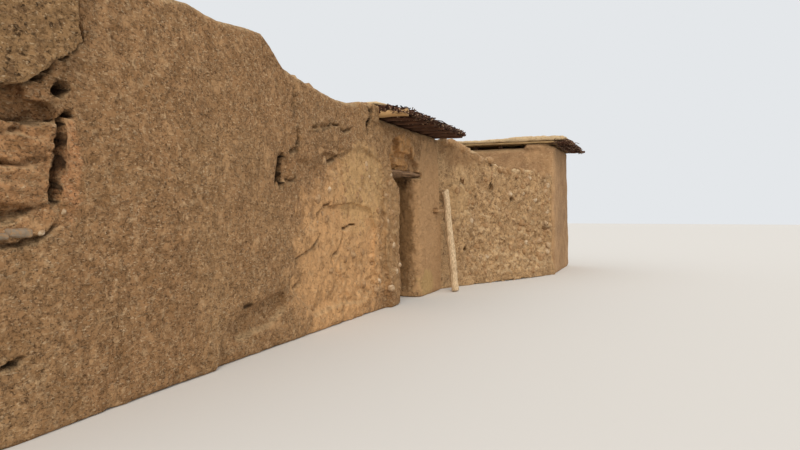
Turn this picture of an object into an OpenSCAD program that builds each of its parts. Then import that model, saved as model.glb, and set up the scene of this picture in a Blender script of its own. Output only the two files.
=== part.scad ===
// Adobe house: a long roofed room with an entrance bay, a ruined court wall and a small roofed room.
// Millimetres, +Z up, origin at the middle of the ground plan. The long front faces -Y.

/* [Main room] */
// Length of the main room along the front, over the walls
main_l = 9580; // [8600:10:11000]
// Depth of the main room, over the walls
main_d = 3600; // [3200:10:4200]
// Thickness of the rammed walls at the ground
wall_t = 480; // [420:10:560]
// How far an outer face leans in over the height of its wall
lean = 60; // [20:5:90]
// Height of the tall front wall
front_h = 3290; // [3150:10:3500]
// Height of the other walls of the main room
rear_h = 3030; // [2960:10:3200]

/* [Roof of the main room] */
// Underside of the roof poles above the ground
seat_z = 2540; // [2400:10:2600]
// Thickness of the wall that stands up outside the roof
skin_t = 260; // [220:10:320]
// Diameter of the roof poles
pole_d = 120; // [90:5:140]
// Distance between roof poles, centre to centre
pole_pitch = 580; // [450:10:700]
// Thickness of the cane layer on the poles
cane_t = 40; // [25:5:60]
// Thickness of the mud on the canes
mud_t = 150; // [100:5:180]

/* [Entrance bay] */
// Length of the entrance bay, at the right end of the main room
bay_l = 3300; // [3000:10:3600]
// Distance from the left end of the bay to the doorway
door_in = 1190; // [1000:10:1300]
// Width of the doorway
door_w = 790; // [700:10:900]
// Height of the doorway
door_h = 2050; // [1850:10:2150]
// Diameter of the lintel logs
log_d = 100; // [80:5:120]
// How far a lintel log reaches into the wall on each side
bearing = 260; // [200:10:320]

// Length of the flat stone in the right pier
ledge_l = 300; // [200:10:400]
// Thickness of the flat stone
ledge_t = 60; // [40:5:80]
// How far the flat stone stands out
ledge_out = 100; // [60:5:130]
// Height of the flat stone above the ground
ledge_z = 1460; // [1300:10:1600]

/* [Eaves] */
// How far the brushwood eaves stand out from the wall
eave_out = 420; // [350:10:500]
// Diameter of the eave poles over the entrance
eave_pole_d = 110; // [80:5:130]
// Length of an eave pole over the entrance
eave_pole_l = 1130; // [900:10:1300]
// Length of the eave over the entrance
eave_l = 2950; // [2600:10:3000]
// Thickness of the brushwood over the entrance
brush_t = 80; // [50:5:110]
// Thickness of the mud cap over the entrance brushwood
cap_t = 50; // [30:5:80]

/* [Court] */
// Length of the open court between the two rooms
court_l = 3700; // [3300:10:4200]
// Thickness of the court walls at the ground
court_t = 450; // [380:10:520]
// Height of the ruined court wall along the court
court_h = 2400; // [2100:10:2700]
// Height of the wall at the back of the court
court_back_h = 2560; // [2200:10:2800]

/* [Small room] */
// Width of the small room along the front, over the walls
small_w = 2740; // [2500:10:3200]
// Depth of the small room, over the walls
small_d = 5180; // [4700:10:5600]
// How far the small room stands forward of the main front
small_out = 1580; // [1300:10:1800]
// Thickness of the small room's walls at the ground
small_t = 420; // [360:10:480]
// Underside of the small room's roof poles above the ground
small_seat_z = 3010; // [2900:10:3060]
// Diameter of the small room's roof poles
small_pole_d = 100; // [80:5:110]
// Diameter of the small room's eave poles
small_eave_d = 80; // [60:5:90]
// Thickness of the mud on the small room's roof
small_mud_t = 95; // [70:5:130]
// How far the small room's roof stands out over its side and back walls
small_verge = 55; // [30:5:90]

/* [Leaning post] */
// Diameter of the post at its foot
post_d = 125; // [100:5:150]
// Length of the post
post_l = 1980; // [1700:10:2200]

/* [Hidden] */

// Overrun of every cut past the face that it opens
over = 20;
// Largest distance between two stations along a wall
station = 240;
// Levels up the face of a wall
levels = 12;
// Radius of a worn upright corner, and of a worn wall top
corner_r = 130;
top_r = 90;
// Height and length of the slow waves in a rammed face
wave_a = 11;
wave_l = 1500;

// Clearance between the head of the post and the wall
clearance = 0.3;
// Slope of the leaning post for each unit of its height, along the front and inwards
post_run = [0.227, 0.176, 1];
// Where the head of the post touches the ruined wall, from the entrance bay, and its height
post_s = 125;
post_head_z = post_l / norm(post_run);

// Inner doorways, between the court and the rooms
inner_door_w = 760;
inner_door_h = 1900;
small_door_w = 700;
small_door_h = 1820;
// Distance from the front inner face to the inner doorways
inner_door_in = 1150;
small_door_in = 1560;

// Levels of the main roof
cane_z = seat_z + pole_d;
mud_z = cane_z + cane_t;
bay_h = mud_z + mud_t;
brush_z = bay_h + eave_pole_d;
cap_z = brush_z + brush_t;
// Levels of the small roof
small_skin_t = small_t / 2;
small_cane_z = small_seat_z + small_pole_d;
small_mud_z = small_cane_z + cane_t;
small_eave_z = small_cane_z - small_eave_d;

// Where the flat stone starts, along the entrance bay
ledge_share = 0.83;

// Places along the front, from the left end of the main room
bay_x = main_l - bay_l;
door_x = bay_x + door_in;
small_x = main_l + court_l;
house_l = small_x + small_w;
// Places from front to back, from the main front
court_step = 40;
court_back_y = min(small_d - small_out, main_d);
house_front = -small_out - eave_out;
// The middle of the plan is the origin
mid_x = (house_l + small_verge) / 2;
mid_y = (main_d + house_front) / 2;

// Height of the worn tops, along each wall from its start, as shares of its height
front_top_shares = [
    [0, 0.985], [0.1, 1], [0.2, 0.99], [0.36, 0.975], [0.576, 0.982], [0.614, 0.942],
    [0.66, 0.9], [0.71, 0.892], [0.77, 0.887], [0.85, 0.885], [0.92, 0.888], [1, 0.906],
];
bay_top_shares = [[0, 1.05], [0.07, 1], [1, 1]];
end_top_shares = [[0, 1], [0.25, 0.985], [0.5, 1.02], [0.8, 1.03], [1, 1.07]];
back_top_shares = [
    [0, 1], [0.12, 0.985], [0.3, 1.005], [0.45, 0.975], [0.6, 0.98], [0.8, 1], [1, 0.99],
];
// The ruined wall starts just under the top of the entrance bay and falls to its own height
join_drop = 10;
ruin_h = bay_h - join_drop;
court_share = court_h / ruin_h;
ruin_top_shares = [
    [0, 1], [0.18, 1.1253 * court_share], [0.32, 1.0626 * court_share], [0.48, 0.994 * court_share],
    [0.64, 0.9976 * court_share], [0.97, 0.9703 * court_share], [1, 0.9703 * court_share],
];
court_back_top_shares = [[0, 1], [0.3, 0.94], [0.55, 0.96], [0.8, 0.9], [1, 0.93]];
level_shares = [[0, 1], [1, 1]];

// Hollows and bulges in the front face: place along, height, half width, half height, depth.
// The first two and the sizes are shares of the wall's length and height, the depth of its thickness.
front_dent_shares = [
    [0.42, 0.10, 0.16, 0.07, 0.05],
    [0.40, 0.62, 0.14, 0.25, -0.05],
    [0.10, 0.12, 0.05, 0.10, 0.06],
];
bay_dent_shares = [
    [0.22, 0.12, 0.1, 0.1, -0.06],
    [0.80, 0.40, 0.2, 0.35, -0.05],
];
ruin_dent_shares = [
    [0.30, 0.55, 0.10, 0.14, 0.10],
    [0.55, 0.40, 0.12, 0.14, 0.09],
    [0.85, 0.25, 0.10, 0.16, 0.13],
    [0.70, 0.05, 0.30, 0.14, -0.30],
];
no_dents = [];

// Outlines of what the weather has taken from the front: place along it and height, as shares of
// the length of the main room and of the height of its front wall.
// The bared earth at the right, and the deeper hollow within it
bared_shares = [
    [0.455, 0.626], [0.452, 0.547], [0.452, 0.438], [0.450, 0.331], [0.445, 0.234],
    [0.428, 0.191], [0.381, 0.167], [0.350, 0.150], [0.318, 0.085], [0.305, -0.015],
    [0.736, -0.015], [0.7285, 0.1395], [0.718, 0.289], [0.723, 0.410], [0.715, 0.502],
    [0.725, 0.587], [0.700, 0.675], [0.642, 0.717], [0.603, 0.699], [0.571, 0.669],
    [0.526, 0.660], [0.491, 0.623],
];
hollow_shares = [
    [0.447, 0.182], [0.452, 0.280], [0.493, 0.307], [0.518, 0.356], [0.509, 0.438],
    [0.534, 0.468], [0.611, 0.483], [0.673, 0.462], [0.695, 0.365], [0.687, 0.243],
    [0.699, 0.137], [0.658, 0.055], [0.585, 0.079], [0.511, 0.061],
];
// The undercut foot beside it
foot_shares = [
    [0.343, 0.122], [0.379, 0.150], [0.405, 0.166], [0.434, 0.176], [0.443, 0.128],
    [0.407, 0.076], [0.344, 0.061],
];
// A slit and the chipped face beside it
slit_shares = [
    [0.415, 0.632], [0.411, 0.584], [0.407, 0.527], [0.4125, 0.525], [0.416, 0.578],
    [0.419, 0.620],
];
chip_shares = [
    [0.4165, 0.617], [0.438, 0.626], [0.442, 0.556], [0.419, 0.536], [0.4145, 0.571],
];
// The pocket under the thick render at the left, the bared layers under that, a slot and a hole
pocket_shares = [
    [0.057, 0.675], [0.106, 0.699], [0.123, 0.745], [0.140, 0.784], [0.150, 0.839],
    [0.148, 0.790], [0.144, 0.751], [0.143, 0.714], [0.137, 0.669], [0.135, 0.623],
    [0.099, 0.605], [0.052, 0.599],
];
layer_shares = [
    [0.031, 0.608], [0.099, 0.617], [0.1345, 0.610], [0.1335, 0.534], [0.130, 0.471],
    [0.099, 0.419], [0.031, 0.407],
];
slot_shares = [
    [0.1355, 0.637], [0.139, 0.616], [0.137, 0.562], [0.136, 0.502], [0.130, 0.456],
    [0.127, 0.462], [0.130, 0.517], [0.130, 0.578], [0.133, 0.614],
];
hole_shares = [
    [0.130, 0.708], [0.138, 0.714], [0.137, 0.694], [0.131, 0.684],
];
// The open joint between the front wall and the entrance
joint_shares = [
    [0.647, 0.940], [0.668, 0.940], [0.659, 0.845], [0.6525, 0.775], [0.650, 0.821],
];
// The broken corner over the doorway, where the lintel shows
broken_shares = [
    [0.753, 0.790], [0.739, 0.736], [0.752, 0.635], [0.770, 0.578], [0.793, 0.547],
    [0.793, 0.626], [0.868, 0.638], [0.879, 0.693], [0.849, 0.717], [0.840, 0.775],
    [0.773, 0.805],
];
// How deep each is cut, from the foot of the face
bared_in = 80;
hollow_in = 130;
foot_in = 150;
chip_in = 85;
layer_in = 115;
pocket_in = 190;
joint_in = 150;
broken_in = 175;
slot_in = 340;

// Slow waves of a rammed face at a place along it and a height, from -1 to 1
function waves(x, z, phase) =
    (sin(360 * (x + 0.3 * z) / wave_l + phase)
    + sin(360 * (1.4 * z - 0.5 * x) / wave_l + 2 * phase)
    + 0.6 * sin(360 * (2.3 * x + 1.9 * z) / wave_l + 3 * phase)) / 2.6;

// Depth of all the hollows at a place, for a wall of the given length, height and thickness
function dent(x, z, len, high, thick, shares) = len(shares) == 0 ? 0 : [
    for (d = shares)
        d[4] * thick * exp(-pow((x / len - d[0]) / d[2], 2) - pow((z / high - d[1]) / d[3], 2))
] * [for (d = shares) 1];

// How far a worn corner has drawn the face back, at a distance from the corner
function worn(gap) = gap >= corner_r ? 0 : corner_r - sqrt(pow(corner_r, 2) - pow(corner_r - gap, 2));

// Stations along a wall, closer together at a worn corner
function stations(len, worn_ends) =
    let (
        start = worn_ends[0] ? corner_r : 0,
        end = worn_ends[1] ? len - corner_r : len,
        n = ceil((end - start) / station)
    )
    concat(
        worn_ends[0] ? [for (a = [0:30:60]) corner_r * (1 - cos(a))] : [],
        [for (i = [0:n]) start + (end - start) * i / n],
        worn_ends[1] ? [for (a = [60:-30:0]) len - corner_r * (1 - cos(a))] : []
    );

// Joins rows of points, all in the same order, into one closed solid
module loft(rows) {
    n = len(rows[0]);
    last = len(rows) - 1;
    polyhedron(
        points = [for (r = rows) each r],
        faces = concat(
            [[for (j = [n - 1:-1:0]) j]],
            [[for (j = [0:n - 1]) last * n + j]],
            [for (i = [0:last - 1], j = [0:n - 1])
                let (k = (j + 1) % n) each [
                    [i * n + j, (i + 1) * n + k, (i + 1) * n + j],
                    [i * n + j, i * n + k, (i + 1) * n + k],
                ]]
        )
    );
}

// A rammed wall along +X with its outer face to -Y, its start at the origin.
// ends: 1 where an end is an outer corner of the house, 0 where it meets another piece.
// from_z: where it starts, above a lintel. two_faces: the inner face is worn too.
module rammed_wall(len, thick, high, top_shares, phase, dent_shares = no_dents, ends = [0, 0],
                   from_z = 0, two_faces = false, span = undef, span_x = 0) {
    // A piece of a longer wall reads its height and its hollows from the whole wall
    whole = is_undef(span) ? len : span;
    rows = [
        for (x = stations(len, ends))
            let (
                along = x + span_x,
                top = high * lookup(along / whole, top_shares),
                corner = (ends[0] ? worn(x) : 0) + (ends[1] ? worn(len - x) : 0),
                rise = top - top_r - from_z,
                face = [for (i = [0:levels])
                    let (z = from_z + rise * i / levels)
                    [
                        lean * z / high + corner + wave_a * waves(along, z, phase)
                            + dent(along, z, whole, high, thick, dent_shares),
                        z,
                    ]],
                back_levels = two_faces ? [levels:-3:0] : [levels:-levels:0],
                back = [for (i = back_levels)
                    let (z = from_z + rise * i / levels)
                    [
                        thick - (two_faces ? lean * z / high + wave_a * waves(along, z, phase + 90) : 0),
                        z,
                    ]],
                front_y = face[levels][0],
                rim = [for (a = [60:-30:30]) [front_y + top_r * (1 - sin(a)), top - top_r + top_r * cos(a)]],
                crown = [[front_y + top_r, top], [back[0][0] - top_r / 2, top]]
            )
            [for (p = concat(face, rim, crown, back))
                [
                    x + lean * p[1] / high * (ends[0] * (1 - x / len) - ends[1] * x / len),
                    p[0],
                    p[1],
                ]]
    ];
    loft(rows);
}

// Everything is drawn from the left end of the main front and moved so that the plan is centred
module placed() {
    translate([-mid_x, -mid_y, 0]) children();
}

// A cut into the front with one of the weathered outlines, to a depth from the foot of the face
module weathered(shares, deep) {
    translate([0, deep, 0]) rotate([90, 0, 0]) linear_extrude(deep + wall_t)
        polygon([for (s = shares) [main_l * s[0], front_h * s[1]]]);
}

// The ledge for the canes all round, and the deeper one for the poles on the long walls
module roof_recess() {
    translate([skin_t, skin_t, cane_z])
        cube([main_l - 2 * skin_t, main_d - 2 * skin_t, front_h]);
    translate([wall_t, skin_t, seat_z])
        cube([main_l - 2 * wall_t, main_d - 2 * skin_t, front_h]);
}

// The ledge for the small roof's poles, in the end wall
module small_roof_recess() {
    translate([small_x, small_t - small_out, small_seat_z])
        cube([small_w - small_skin_t, small_d - 2 * small_t, front_h]);
}

// Everything over the entrance walls that the eave fills, to the heel of its mud cap
module eave_seat() {
    translate([main_l - eave_l, -eave_out, bay_h])
        cube([eave_l + over, eave_pole_l + wall_t, front_h]);
}

// Logs side by side along +X, filling a wall's thickness, lying on z = 0
module logs(span_l, thick) {
    count = floor(thick / log_d);
    pitch = thick / count;
    for (i = [0:count - 1])
        translate([0, pitch * (i + 0.5), log_d / 2])
            rotate([0, 90, 0])
                cylinder(d = log_d, h = span_l, $fn = 32);
}

// The front wall before it is trimmed to the entrance bay, which it overruns
module front_length() {
    rammed_wall(bay_x + wall_t, wall_t, front_h, front_top_shares, 20, front_dent_shares, [1, 0],
                span = bay_x);
}

module front_wall() color("peru") placed() difference() {
    front_length();
    translate([bay_x, -wall_t, -over]) cube([2 * wall_t, 3 * wall_t, 2 * front_h]);
    roof_recess();
    weathered(bared_shares, bared_in);
    weathered(hollow_shares, hollow_in);
    weathered(foot_shares, foot_in);
    weathered(chip_shares, chip_in);
    weathered(slit_shares, slot_in);
    weathered(layer_shares, layer_in);
    weathered(pocket_shares, pocket_in);
    weathered(slot_shares, slot_in);
    weathered(hole_shares, slot_in);
    weathered(joint_shares, joint_in);
}

// A length of the entrance wall between two places, from a level up
module bay_wall(from, to, from_z, ends = [0, 0]) {
    translate([bay_x + from, 0, 0])
        rammed_wall(to - from, wall_t, bay_h, bay_top_shares, 140, bay_dent_shares, ends,
                    from_z = from_z, span = bay_l, span_x = from);
}

// The lintel's seat and all above it, cut from the piers
module lintel_seat() {
    translate([door_x - bearing, -wall_t, door_h])
        cube([door_w + 2 * bearing, 3 * wall_t, front_h]);
}

module door_pier_left() color("tan") placed() difference() {
    bay_wall(0, door_in, 0);
    roof_recess();
    lintel_seat();
    weathered(bared_shares, bared_in);
    weathered(hollow_shares, hollow_in);
    weathered(joint_shares, joint_in);
    weathered(broken_shares, broken_in);
}

module door_pier_right() color("tan") placed() difference() {
    bay_wall(door_in + door_w, bay_l, 0, [1, 1]);
    roof_recess();
    lintel_seat();
    weathered(broken_shares, broken_in);
    ledge_room();
}

// The flat stone in the right pier, which stands out of the wall
module ledge_room() {
    translate([bay_x + bay_l * ledge_share, -ledge_out, ledge_z])
        cube([ledge_l, ledge_out + wall_t / 2, ledge_t]);
}

module ledge_stone() color("silver") placed() ledge_room();

module wall_over_door() color("tan") placed() difference() {
    bay_wall(door_in - bearing, door_in + door_w + bearing, door_h + log_d);
    roof_recess();
    weathered(broken_shares, broken_in);
}

module door_lintel() color("dimgray") placed()
    translate([door_x - bearing, lean, door_h]) logs(door_w + 2 * bearing, wall_t - lean);

module left_end_wall() color("peru") placed() difference() {
    translate([0, main_d - wall_t, 0]) rotate([0, 0, -90])
        rammed_wall(main_d - 2 * wall_t, wall_t, rear_h, end_top_shares, 250);
    roof_recess();
}

module back_wall() color("peru") placed() difference() {
    translate([main_l, main_d, 0]) rotate([0, 0, 180])
        rammed_wall(main_l, wall_t, rear_h, back_top_shares, 60, ends = [1, 1]);
    roof_recess();
}

// A plain battered wall along +X, outer face to -Y, that other walls or a roof meet
module plain_wall(len, thick, high, from_z) {
    shoulder = high - top_r;
    rotate([90, 0, 90]) linear_extrude(len)
        polygon([
            [lean * from_z / high, from_z], [lean * shoulder / high, shoulder],
            [lean + top_r * 0.3, high - top_r * 0.3], [lean + top_r, high],
            [thick, high], [thick, from_z],
        ]);
}

// A length of the main room's court side, between two distances from its front inner face
module court_side(from, to, from_z) {
    translate([main_l, wall_t + from, 0]) rotate([0, 0, 90])
        plain_wall(to - from, wall_t, rear_h, from_z);
}

// The seat of the inner lintel and all above it
module court_lintel_seat() {
    translate([main_l - 2 * wall_t, wall_t + inner_door_in - bearing, inner_door_h])
        cube([3 * wall_t, inner_door_w + 2 * bearing, front_h]);
}

module court_side_wall_front() color("peru") placed() difference() {
    court_side(0, inner_door_in, 0);
    roof_recess();
    court_lintel_seat();
    eave_seat();
}

module court_side_wall_back() color("peru") placed() difference() {
    court_side(inner_door_in + inner_door_w, main_d - 2 * wall_t, 0);
    roof_recess();
    court_lintel_seat();
}

module wall_over_court_door() color("peru") placed() difference() {
    court_side(inner_door_in - bearing, inner_door_in + inner_door_w + bearing, inner_door_h + log_d);
    roof_recess();
}

module court_door_lintel() color("dimgray") placed()
    translate([main_l - lean, wall_t + inner_door_in - bearing, inner_door_h]) rotate([0, 0, 90])
        logs(inner_door_w + 2 * bearing, wall_t - lean);

module roof_poles() color("sienna") placed() {
    inside = main_l - 2 * wall_t;
    count = floor(inside / pole_pitch);
    for (i = [0:count - 1])
        translate([wall_t + inside * (i + 0.5) / count, skin_t, seat_z + pole_d / 2])
            rotate([-90, 0, 0])
                cylinder(d = pole_d, h = main_d - 2 * skin_t, $fn = 32);
}

module roof_canes() color("burlywood") placed()
    translate([skin_t, skin_t, cane_z]) cube([main_l - 2 * skin_t, main_d - 2 * skin_t, cane_t]);

module mud_roof() color("tan") placed()
    translate([skin_t, skin_t, mud_z]) cube([main_l - 2 * skin_t, main_d - 2 * skin_t, mud_t]);

// The eave of the entrance starts at its own left end
module at_eave() {
    translate([main_l - eave_l, -eave_out, 0]) children();
}

module eave_poles() color("saddlebrown") placed() at_eave() {
    count = 8;
    for (i = [0:count - 1])
        translate([eave_pole_d / 2 + (eave_l - eave_pole_d) * i / (count - 1), 0, bay_h + eave_pole_d / 2])
            rotate([-90, 0, 0])
                cylinder(d = eave_pole_d, h = eave_pole_l, $fn = 32);
}

// A mat of brushwood with ragged tips towards -Y
module brush_mat(len, deep, thick, ragged, teeth) {
    tips = [for (i = [0:2 * teeth])
        [len * i / (2 * teeth), ragged * (0.5 - 0.3 * sin(i * 131) - 0.2 * cos(i * 197))]];
    linear_extrude(thick)
        polygon(concat(tips, [[len, deep], [0, deep]]));
}

module eave_brush() color("saddlebrown") placed() at_eave()
    translate([0, 0, brush_z]) brush_mat(eave_l, eave_out + wall_t, brush_t, eave_out / 4, 22);

// The cap lies on the brushwood and comes down behind it to the roof
module eave_mud_cap() color("burlywood") placed() at_eave() {
    brush_back = eave_out + wall_t;
    heel = eave_pole_l + wall_t / 4;
    edge = eave_out / 3;
    section = [
        [edge, cap_z], [edge + cap_t, cap_z + cap_t * 0.8], [brush_back * 0.7, cap_z + cap_t],
        [brush_back, cap_z + cap_t * 0.7], [heel, bay_h + eave_pole_d],
        [heel + eave_pole_d, bay_h], [eave_pole_l, bay_h], [eave_pole_l, brush_z],
        [brush_back, brush_z], [brush_back, cap_z],
    ];
    rotate([90, 0, 90]) linear_extrude(eave_l) polygon(section);
}

// The ruined wall runs from the entrance bay to the front corner of the small room
ruin_turn = atan2(small_out, court_l);
ruin_l = court_l / cos(ruin_turn);

// The gap between the two rooms, whose walls lean away from it
module court_gap(high) {
    slope = lean * high / rear_h;
    small_slope = lean * high / small_cane_z;
    rotate([90, 0, 0]) translate([0, 0, -main_d]) linear_extrude(main_d + 2 * small_out)
        polygon([[main_l, 0], [small_x, 0], [small_x + small_slope, high], [main_l - slope, high]]);
}

// The ruined wall before its ends are trimmed to the walls that it meets
module ruined_length() {
    translate([main_l, court_step, 0]) rotate([0, 0, -ruin_turn]) translate([-court_t, 0, 0])
        rammed_wall(ruin_l + 2 * court_t, court_t, ruin_h, ruin_top_shares, 200, ruin_dent_shares,
                    two_faces = true, span = ruin_l, span_x = -court_t);
}

// The flat place in its face that the leaning post touches
module post_bed() {
    translate([main_l, court_step, post_head_z]) rotate([0, 0, -ruin_turn])
        translate([post_s - 2 * post_d, -court_t, -2 * post_d])
            cube([4 * post_d, court_t + lean, 3 * post_d]);
}

// Holes where stones have fallen out of the ruined wall, each a place along it and a height
hole_place_shares = [
    [0.16, 0.72], [0.19, 0.26], [0.28, 0.695], [0.42, 0.70], [0.36, 0.47],
    [0.60, 0.62], [0.78, 0.42], [0.82, 0.36], [0.52, 0.30], [0.68, 0.76],
];
fallen_d = 130;
fallen_in = 170;
module fallen_stones() {
    translate([main_l, court_step, 0]) rotate([0, 0, -ruin_turn])
        for (p = hole_place_shares)
            translate([ruin_l * p[0], fallen_in, ruin_h * p[1]]) rotate([90, 45, 0])
                cylinder(d = fallen_d, h = fallen_in + court_t, $fn = 5);
}

module ruined_court_wall() color("tan") placed() difference() {
    intersection() {
        ruined_length();
        court_gap(bay_h);
    }
    post_bed();
    fallen_stones();
}

module court_back_wall() color("peru") placed() intersection() {
    translate([small_x + court_t, court_back_y, 0]) rotate([0, 0, 180])
        rammed_wall(court_l + 2 * court_t, court_t, court_back_h, court_back_top_shares, 15,
                    two_faces = true);
    court_gap(front_h);
}

// The post stands clear of the wall at its foot and touches its flat bed with the rim of its head
module leaning_post() color("wheat") placed() {
    axis = post_run / norm(post_run);
    out = [-sin(ruin_turn), -cos(ruin_turn), 0];
    off = post_d / 2 * sqrt(1 - pow(axis * out, 2)) + clearance;
    head = [main_l, court_step, post_head_z]
        + post_s * [cos(ruin_turn), -sin(ruin_turn), 0] + (off - lean) * out;
    difference() {
        translate(head) rotate([0, acos(axis[2]), atan2(axis[1], axis[0])])
            mirror([0, 0, 1]) cylinder(d = post_d, h = post_l + post_d, $fn = 32);
        translate([head[0] - post_l, head[1] - post_l, -post_l]) cube([2 * post_l, 2 * post_l, post_l]);
    }
}

// The outer half of the front wall is lower by the eave poles that lie on it
module small_front_wall() color("peru") placed() difference() {
    translate([small_x, -small_out, 0])
        rammed_wall(small_w, small_t, small_cane_z, level_shares, 330, ends = [1, 1]);
    translate([small_x - over, -small_out - over, small_eave_z])
        cube([small_w + 2 * over, small_skin_t + over, front_h]);
}

module small_end_wall() color("peru") placed() difference() {
    translate([house_l, small_t - small_out, 0]) rotate([0, 0, 90])
        rammed_wall(small_d - 2 * small_t, small_t, small_cane_z, level_shares, 110);
    small_roof_recess();
}

module small_back_wall() color("peru") placed()
    translate([house_l, small_d - small_out, 0]) rotate([0, 0, 180])
        rammed_wall(small_w, small_t, small_cane_z, level_shares, 75, ends = [1, 1]);

// A length of the small room's court side, between two distances from its front inner face.
// It ends under the roof poles, whose ends show in the slot above it.
module small_court_side(from, to, from_z) {
    translate([small_x, small_t - small_out + to, 0]) rotate([0, 0, -90])
        plain_wall(to - from, small_t, small_seat_z, from_z);
}

module small_lintel_seat() {
    translate([small_x - small_t, small_t - small_out + small_door_in - bearing, small_door_h])
        cube([3 * small_t, small_door_w + 2 * bearing, front_h]);
}

module small_court_wall_front() color("peru") placed() difference() {
    small_court_side(0, small_door_in, 0);
    small_lintel_seat();
}

module small_court_wall_back() color("peru") placed() difference() {
    small_court_side(small_door_in + small_door_w, small_d - 2 * small_t, 0);
    small_lintel_seat();
}

module wall_over_small_door() color("peru") placed()
    small_court_side(small_door_in - bearing, small_door_in + small_door_w + bearing, small_door_h + log_d);

module small_door_lintel() color("dimgray") placed()
    translate([small_x + small_t, small_t - small_out + small_door_in - bearing, small_door_h])
        rotate([0, 0, 90]) logs(small_door_w + 2 * bearing, small_t - lean);

module small_roof_poles() color("sienna") placed() {
    inside = small_d - 2 * small_t;
    count = floor(inside / pole_pitch);
    for (i = [0:count - 1])
        translate([small_x + small_t - bearing, small_t - small_out + inside * (i + 0.5) / count,
                   small_seat_z + small_pole_d / 2])
            rotate([0, 90, 0])
                cylinder(d = small_pole_d, h = small_w - small_skin_t - small_t + bearing, $fn = 32);
}

module small_roof_canes() color("burlywood") placed()
    translate([small_x - small_verge, -small_out, small_cane_z])
        cube([small_w + 2 * small_verge, small_d + small_verge, cane_t]);

module small_mud_roof() color("burlywood") placed()
    translate([small_x - small_verge, -small_out - eave_out / 2, small_mud_z])
        cube([small_w + 2 * small_verge, small_d + small_verge + eave_out / 2, small_mud_t]);

module small_eave_poles() color("saddlebrown") placed() {
    count = 7;
    for (i = [0:count - 1])
        translate([small_x + small_eave_d + (small_w - 2 * small_eave_d) * i / (count - 1),
                   -small_out - eave_out, small_eave_z + small_eave_d / 2])
            rotate([-90, 0, 0])
                cylinder(d = small_eave_d, h = eave_out + small_skin_t, $fn = 32);
}

module small_eave_brush() color("saddlebrown") placed()
    translate([small_x, -small_out - eave_out, small_cane_z])
        brush_mat(small_w, eave_out, cane_t, eave_out / 4, 20);

// What is left of the thick mud render, at the top left of the front
lobe_w = 1380;
lobe_t = 75;
lobe_low_z = 2230;
lobe_top_z = front_h * 0.94;
lobe_edge_shares = [
    [0.64, 0], [0.74, 0.03], [0.84, 0.17], [0.89, 0.26], [0.98, 0.33], [1.04, 0.45], [1.02, 0.57],
    [1.03, 1],
];
module render_lobe() color("sandybrown") placed() difference() {
    translate([0, wall_t / 2, 0]) rotate([90, 0, 0]) linear_extrude(wall_t / 2 + lobe_t)
        polygon(concat(
            [[corner_r, lobe_top_z], [corner_r, lobe_low_z]],
            [for (s = lobe_edge_shares) [lobe_w * s[0], lobe_low_z + (lobe_top_z - lobe_low_z) * s[1]]]
        ));
    front_length();
}

front_wall();
door_pier_left();
door_pier_right();
wall_over_door();
door_lintel();
ledge_stone();
left_end_wall();
back_wall();
court_side_wall_front();
court_side_wall_back();
wall_over_court_door();
court_door_lintel();
roof_poles();
roof_canes();
mud_roof();
eave_poles();
eave_brush();
eave_mud_cap();
ruined_court_wall();
court_back_wall();
leaning_post();
small_front_wall();
small_end_wall();
small_back_wall();
small_court_wall_front();
small_court_wall_back();
wall_over_small_door();
small_door_lintel();
small_roof_poles();
small_roof_canes();
small_mud_roof();
small_eave_poles();
small_eave_brush();
render_lobe();
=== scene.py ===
"""Dresses the adobe house: weathered earth walls, pole and brushwood eaves, mud roofs, cobbles and a leaning post."""
import logging
import math
import random
from dataclasses import dataclass, field, replace
from enum import Enum
from typing import Iterable, Sequence

import bpy
import numpy as np
from mathutils import Matrix, Vector


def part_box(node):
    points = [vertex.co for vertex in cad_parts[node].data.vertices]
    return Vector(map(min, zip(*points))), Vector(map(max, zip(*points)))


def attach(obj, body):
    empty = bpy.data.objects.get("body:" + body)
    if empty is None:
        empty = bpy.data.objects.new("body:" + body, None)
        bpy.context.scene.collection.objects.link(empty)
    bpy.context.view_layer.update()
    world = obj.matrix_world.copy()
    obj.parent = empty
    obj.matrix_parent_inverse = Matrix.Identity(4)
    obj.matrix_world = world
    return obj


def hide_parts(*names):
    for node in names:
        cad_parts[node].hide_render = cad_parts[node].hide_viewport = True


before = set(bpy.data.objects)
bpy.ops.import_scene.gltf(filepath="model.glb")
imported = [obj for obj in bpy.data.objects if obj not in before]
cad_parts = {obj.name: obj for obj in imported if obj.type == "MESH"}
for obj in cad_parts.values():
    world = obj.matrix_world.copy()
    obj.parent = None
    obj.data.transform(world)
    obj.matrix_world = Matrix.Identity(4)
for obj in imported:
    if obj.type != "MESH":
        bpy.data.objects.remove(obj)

logging.basicConfig(level=logging.INFO, format="%(message)s")
log = logging.getLogger("adobe_house")

Point = tuple[float, float, float]
Spot = tuple[float, float]

# Places of the house in metres, in the frame of the solids
FRONT_Y = -0.80
MAIN_END_X = 1.5425
SMALL_X = 5.2425
# The ruined wall runs from the entrance to the small room: its start, its length along X and its turn
RUIN_START = (MAIN_END_X, -0.76)
RUIN_RUN = (3.70, -1.58)


class Weathering(Enum):
    """How far the weather has gone on an earth surface: the height of its relief, in metres."""

    PLAIN = 0.012
    WORN = 0.018
    RUINED = 0.030


class Lay(Enum):
    """Which way twigs lie in an eave."""

    ALONG = "along the wall"
    ACROSS = "out from the wall"
    STUB = "cut ends that stand up along the edge"


def deselect() -> None:
    """Leaves edit mode and deselects everything, so that an operator acts on one piece only."""
    if bpy.context.mode != "OBJECT":
        bpy.ops.object.mode_set(mode="OBJECT")
    bpy.ops.object.select_all(action="DESELECT")


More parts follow.
